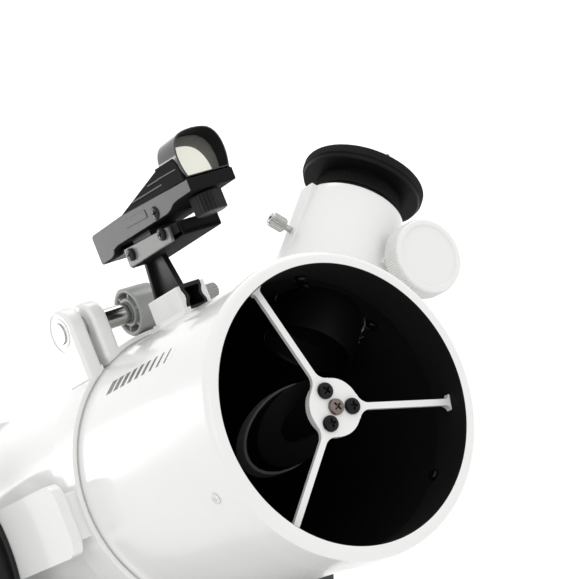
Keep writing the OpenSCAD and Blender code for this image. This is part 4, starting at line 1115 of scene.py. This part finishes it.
def build_bearings():
    centre = pivot_of("altitude")
    z_mid = (centre - TUBE.translation).dot(TUBE.col[2].to_3d()) / MM
    for side, label in ((-1, "left"), (1, "right")):
        lo, hi = span(f"altitude_disc_{label}")
        r, bolt_circle = 60.0, 36
        thick = (-lo.x if side < 0 else hi.x) - BAR_OUT
        profile = [(0, 0), (r + 4.2, 0), (r + 5, 0.8), (r + 5, 2.2), (r + 4.2, 3), (r, 3), (r, thick - 1.4)]
        profile += arc(r - 1.4, thick - 1.4, 1.4, 0, 90, 4)
        profile += [(r - 6.6, thick), (r - 7.6, thick - 0.6), (r - 8, thick - 1.6), (r - 8.4, thick - 5.4),
            (r - 9.6, thick - 6), (16, thick - 6), (14.5, thick - 4.6), (0, thick - 4.2)]
        s = lathe(profile, 128)
        bolts = Solid()
        for a in THIRDS:
            z, y = polar(bolt_circle, a)
            cap = minus(rod(4.5, thick - 6, thick - 2, 0.5, 40),
                prism(ellipse_ring(0, 0, 2.3, 6), thick - 4.4, thick))
            bolts = bolts + (cap + rod(2.5, -4.8, thick - 5, 0.2, 24)).shifted(z, y, 0)
        s = (s + bolts.painted(1)).moved(ALONG_X)
        if side < 0:
            s = s.moved(FLIPPED_X)
        s = s.shifted(side * BAR_OUT, 0, z_mid)
        make(f"altitude_disc_{label}", s, [PLASTIC, BRIGHT])
        lo, hi = span(f"side_bar_{label}")
        x0, x1 = sorted((side * BAR_IN, side * BAR_OUT))
        bar = union(slab(rounded([(lo.z, -20), (hi.z, -20), (hi.z, 20), (lo.z, 20)], 9, 8), x0, x1),
            rod(52, x0, x1, 0, 128).lying(ALONG_X, 0, 0, z_mid))
        bar = soft(bar, 0.9, 3, 40)
        for clamp in ("clamp_front_right", "clamp_rear_right"):
            clo, chi = span(clamp)
            mid = (clo.z + chi.z) / 2
            post = soft(block(*sorted((side * 79, side * 88.3)), -13, 13, mid - 10, mid + 10), 0.8)
            bar = bar + minus(post, rod(BAND_R1 - 0.02, -700, 50, 0, 192))
        make(f"side_bar_{label}", bar, WHITE)


def round_board(node):
    """A round board with eased edges and a hole for the pivot bolt."""
    lo, hi = span(node, FLOOR)
    edge, hole = 1.2, 5.05
    r = hi.x - edge
    low_edge, high_edge = arc(r, lo.z + edge, edge, -90, 0, 4), arc(r, hi.z - edge, edge, 0, 90, 4)
    return lathe([(hole, lo.z), (r, lo.z)] + low_edge + high_edge + [(hole, hi.z)], 192)


def build_base():
    low, high = span("rocker_sides", FLOOR)
    top_z = span("rocker_base", FLOOR)[1].z
    axis_z = pivot_of("altitude").z / MM
    r = 63.0
    y0, y1 = low.y, high.y
    shoulder = 84.0
    notch = arc(0, axis_z, r, 0, -180, 28)
    outline = rounded([(y0, top_z), (y1, top_z), (y1, top_z + 60), (shoulder, axis_z - 40),
        (shoulder, high.z)], [0, 0, 14, 8, 7], 6)
    outline += [(r, high.z)] + notch + [(-r, high.z)]
    outline += rounded([(-shoulder, high.z), (-shoulder, axis_z - 40), (y0, top_z + 130)], [0, 8, 14], 6)
    across = Matrix(((0, 0, 1, 0), (1, 0, 0, 0), (0, 1, 0, 0), (0, 0, 0, 1)))
    both = together([soft(prism(outline, x0, x1).moved(across), 0.9, 3, 35) for x0,
        x1 in ((low.x, -BOARD_IN), (BOARD_IN, high.x))])
    make("rocker_sides", both, BOARD, "rocker", FLOOR, name="side_boards")

    lo, hi = span("rocker_front", FLOOR)
    panel = soft(block(lo.x, hi.x, lo.y, hi.y, lo.z, hi.z), 0.9)
    slot_z = hi.z - 34
    grip = arc(42, slot_z, 13, -90, 90, 12) + arc(-42, slot_z, 13, 90, 270, 12)
    cutter = prism(grip, -20, 20).moved(turned(90, "X")).shifted(0, (lo.y + hi.y) / 2, 0)
    panel = minus(panel, cutter)
    make("rocker_front", panel, BOARD, "rocker", FLOOR, name="front_board")

    make("rocker_base", round_board("rocker_base"), BOARD, "rocker", FLOOR, name="turning_board")
    make("ground_board", round_board("ground_board"), BOARD, "ground", FLOOR)

    pads = []
    for x0 in (BOARD_IN, -114.0):
        for a in (-50, 50):
            ring = []
            for rr, order in ((60.3, 1), (63.0, -1)):
                ring += [(rr * math.sin(math.radians(t)), -rr * math.cos(math.radians(t)))
                    for t in [(-12 + 24 * k / 10) * order for k in range(11)]]
            pads.append(soft(prism(ring, x0, x0 + 16).moved(across).moved(turned(a, "X")), 0.35, 2, 40))
    make("altitude_pads", together(pads).shifted(0, 0, axis_z), PAD, "rocker", FLOOR, name="bearing_pads")

    lo, hi = span("ground_hardware", FLOOR)
    pivot = rod(5, 13, hi.z, 0.6, 48) + rod(11, lo.z, 14, 0.8, 64)
    pivot = pivot + lathe([(5.2, top_z + 0.3), (13, top_z + 0.3), (13, top_z + 1.8), (5.2, top_z + 1.8)],
        64)
    nut = soft(prism(ellipse_ring(0, 0, 9, 6), top_z + 1.8, top_z + 7.8), 0.5)
    pivot = pivot + minus(nut, rod(5.02, top_z, top_z + 20, 0, 32))
    glide_circle, foot_circle = 120, 142
    glides = together([rod(12, 30, 33, 0.5, 48).shifted(*polar(glide_circle, a), 0) for a in THIRDS])
    make("ground_hardware", pivot + glides.painted(1), [STEEL, PAD], "ground", FLOOR,
        name="pivot_and_glides")

    foot = lathe([(0, 3), (5.6, 3), (6, 2.6), (6, 0.4), (6.4, 0), (12.6, 0), (13.6, 0.5), (14.1, 1.5),
        (16.3, 12.4), (16.9, 13.4), (16.6, 14), (2, 14), (2, 23), (0, 23)], 64)
    feet = [foot.shifted(*polar(foot_circle, a - 60), 0) for a in THIRDS]
    make("ground_feet", together(feet), RUBBER, "ground", FLOOR, name="rubber_feet")


def keep_cad():
    """CAD nodes that show as they are, with their own finishes."""
    kept = {"focuser_rack": RACK, "clamp_hinge_pins": BRIGHT, "clamp_felt": FELT}
    for node, finish in kept.items():
        mesh = frame["nodes"][node].data
        mesh.materials.clear()
        mesh.materials.append(finish)
        mesh.polygons.foreach_set("use_smooth", [True] * len(mesh.polygons))
        mesh.set_sharp_from_angle(angle=math.radians(30))


# ---------- studio ----------

FLOOR_SIZE = 14.0
FLOOR_CELLS = 8
WORLD_LOW = 0.95
WORLD_HIGH = 1.0
# name, place, target, width, height, radiance, lights the scene (the others only show in reflections)
LAMPS = [("key_softbox", (-1.5, -1.1, 2.1), (0.0, -0.15, 0.45), 0.9, 1.3, 1.1, True),
    ("floor_softbox", (1.6, 2.0, 2.4), (1.7, 2.1, 0.0), 2.6, 2.6, 2.2, True),
    ("side_softbox", (-0.31, 0.48, 0.25), (-0.06, -0.08, 0.5), 0.2, 0.26, 3.8, False),]


def build_studio():
    row = FLOOR_CELLS + 1
    steps = [(i / FLOOR_CELLS - 0.5) * FLOOR_SIZE for i in range(row)]
    corners = [j * row + i for j in range(FLOOR_CELLS) for i in range(FLOOR_CELLS)]
    mesh = bpy.data.meshes.new("studio_floor")
    mesh.from_pydata([(x, y, 0) for y in steps for x in steps], [],
        [(c, c + 1, c + row + 1, c + row) for c in corners])
    mesh.materials.append(surface("studio_floor", (0.93, 0.93, 0.93), (0.75, 0.85), 0.005, 60.0, 0.02,
        0.0001, 2.0))
    floor = bpy.data.objects.new("studio_floor", mesh)
    bpy.context.scene.collection.objects.link(floor)

    world = bpy.data.worlds.new("studio_world")
    world.use_nodes = True
    nodes, links = world.node_tree.nodes, world.node_tree.links
    height = nodes.new("ShaderNodeSeparateXYZ")
    links.new(nodes.new("ShaderNodeTexCoord").outputs["Generated"], height.inputs[0])
    grade = nodes.new("ShaderNodeMapRange")
    links.new(height.outputs["Z"], grade.inputs["Value"])
    for key, value in (("From Min", 0.0), ("From Max", 0.8), ("To Min", WORLD_LOW), ("To Max", WORLD_HIGH)):
        grade.inputs[key].default_value = value
    background = nodes["Background"]
    background.inputs["Color"].default_value = (1.0, 1.0, 1.0, 1)
    links.new(grade.outputs["Result"], background.inputs["Strength"])
    bpy.context.scene.world = world
    for name, place, target, width, high, radiance, seen in LAMPS:
        data = bpy.data.lights.new(name, "AREA")
        data.shape, data.size, data.size_y = "RECTANGLE", width, high
        data.energy = radiance * math.pi * width * high
        lamp = bpy.data.objects.new(name, data)
        bpy.context.scene.collection.objects.link(lamp)
        lamp.location = place
        lamp.visible_camera = seen
        lamp.visible_diffuse = seen
        lamp.rotation_euler = (Vector(target) - Vector(place)).to_track_quat("-Z", "Y").to_euler()


CAMERA_PLACE = (-604.2, -33.05, 854.5)  # from the middle of the front rim, in millimetres
CAMERA_AHEAD = (0.5707, 0.6834, -0.4552)
CAMERA_RIGHT = (0.7796, -0.6250, 0.0390)
FILM_WIDTH, FOCAL_LENGTH = 36.0, 132.0


def build_camera():
    """Seen from the front left and a little above, at the photograph's angle."""
    data = bpy.data.cameras.new("camera")
    data.sensor_width, data.lens = FILM_WIDTH, FOCAL_LENGTH
    data.clip_start, data.clip_end = 0.05, 50.0
    camera = bpy.data.objects.new("camera", data)
    bpy.context.scene.collection.objects.link(camera)
    place = TUBE @ (Vector(CAMERA_PLACE) * MM)
    ahead = Vector(CAMERA_AHEAD).normalized()
    right = Vector(CAMERA_RIGHT)
    right = (right - ahead * right.dot(ahead)).normalized()
    camera.matrix_world = axes(place, right, right.cross(ahead), -ahead)
    bpy.context.scene.camera = camera
    bpy.context.scene.view_settings.view_transform = "Standard"


for build in (build_camera, build_studio, build_tube, build_spider, build_secondary, build_focuser,
        build_rings, build_drive, build_finder, build_bracket, build_clamps, build_cell, build_bearings,
        build_base, keep_cad):
    build()
for m in SCRATCH:
    bpy.data.materials.remove(m)
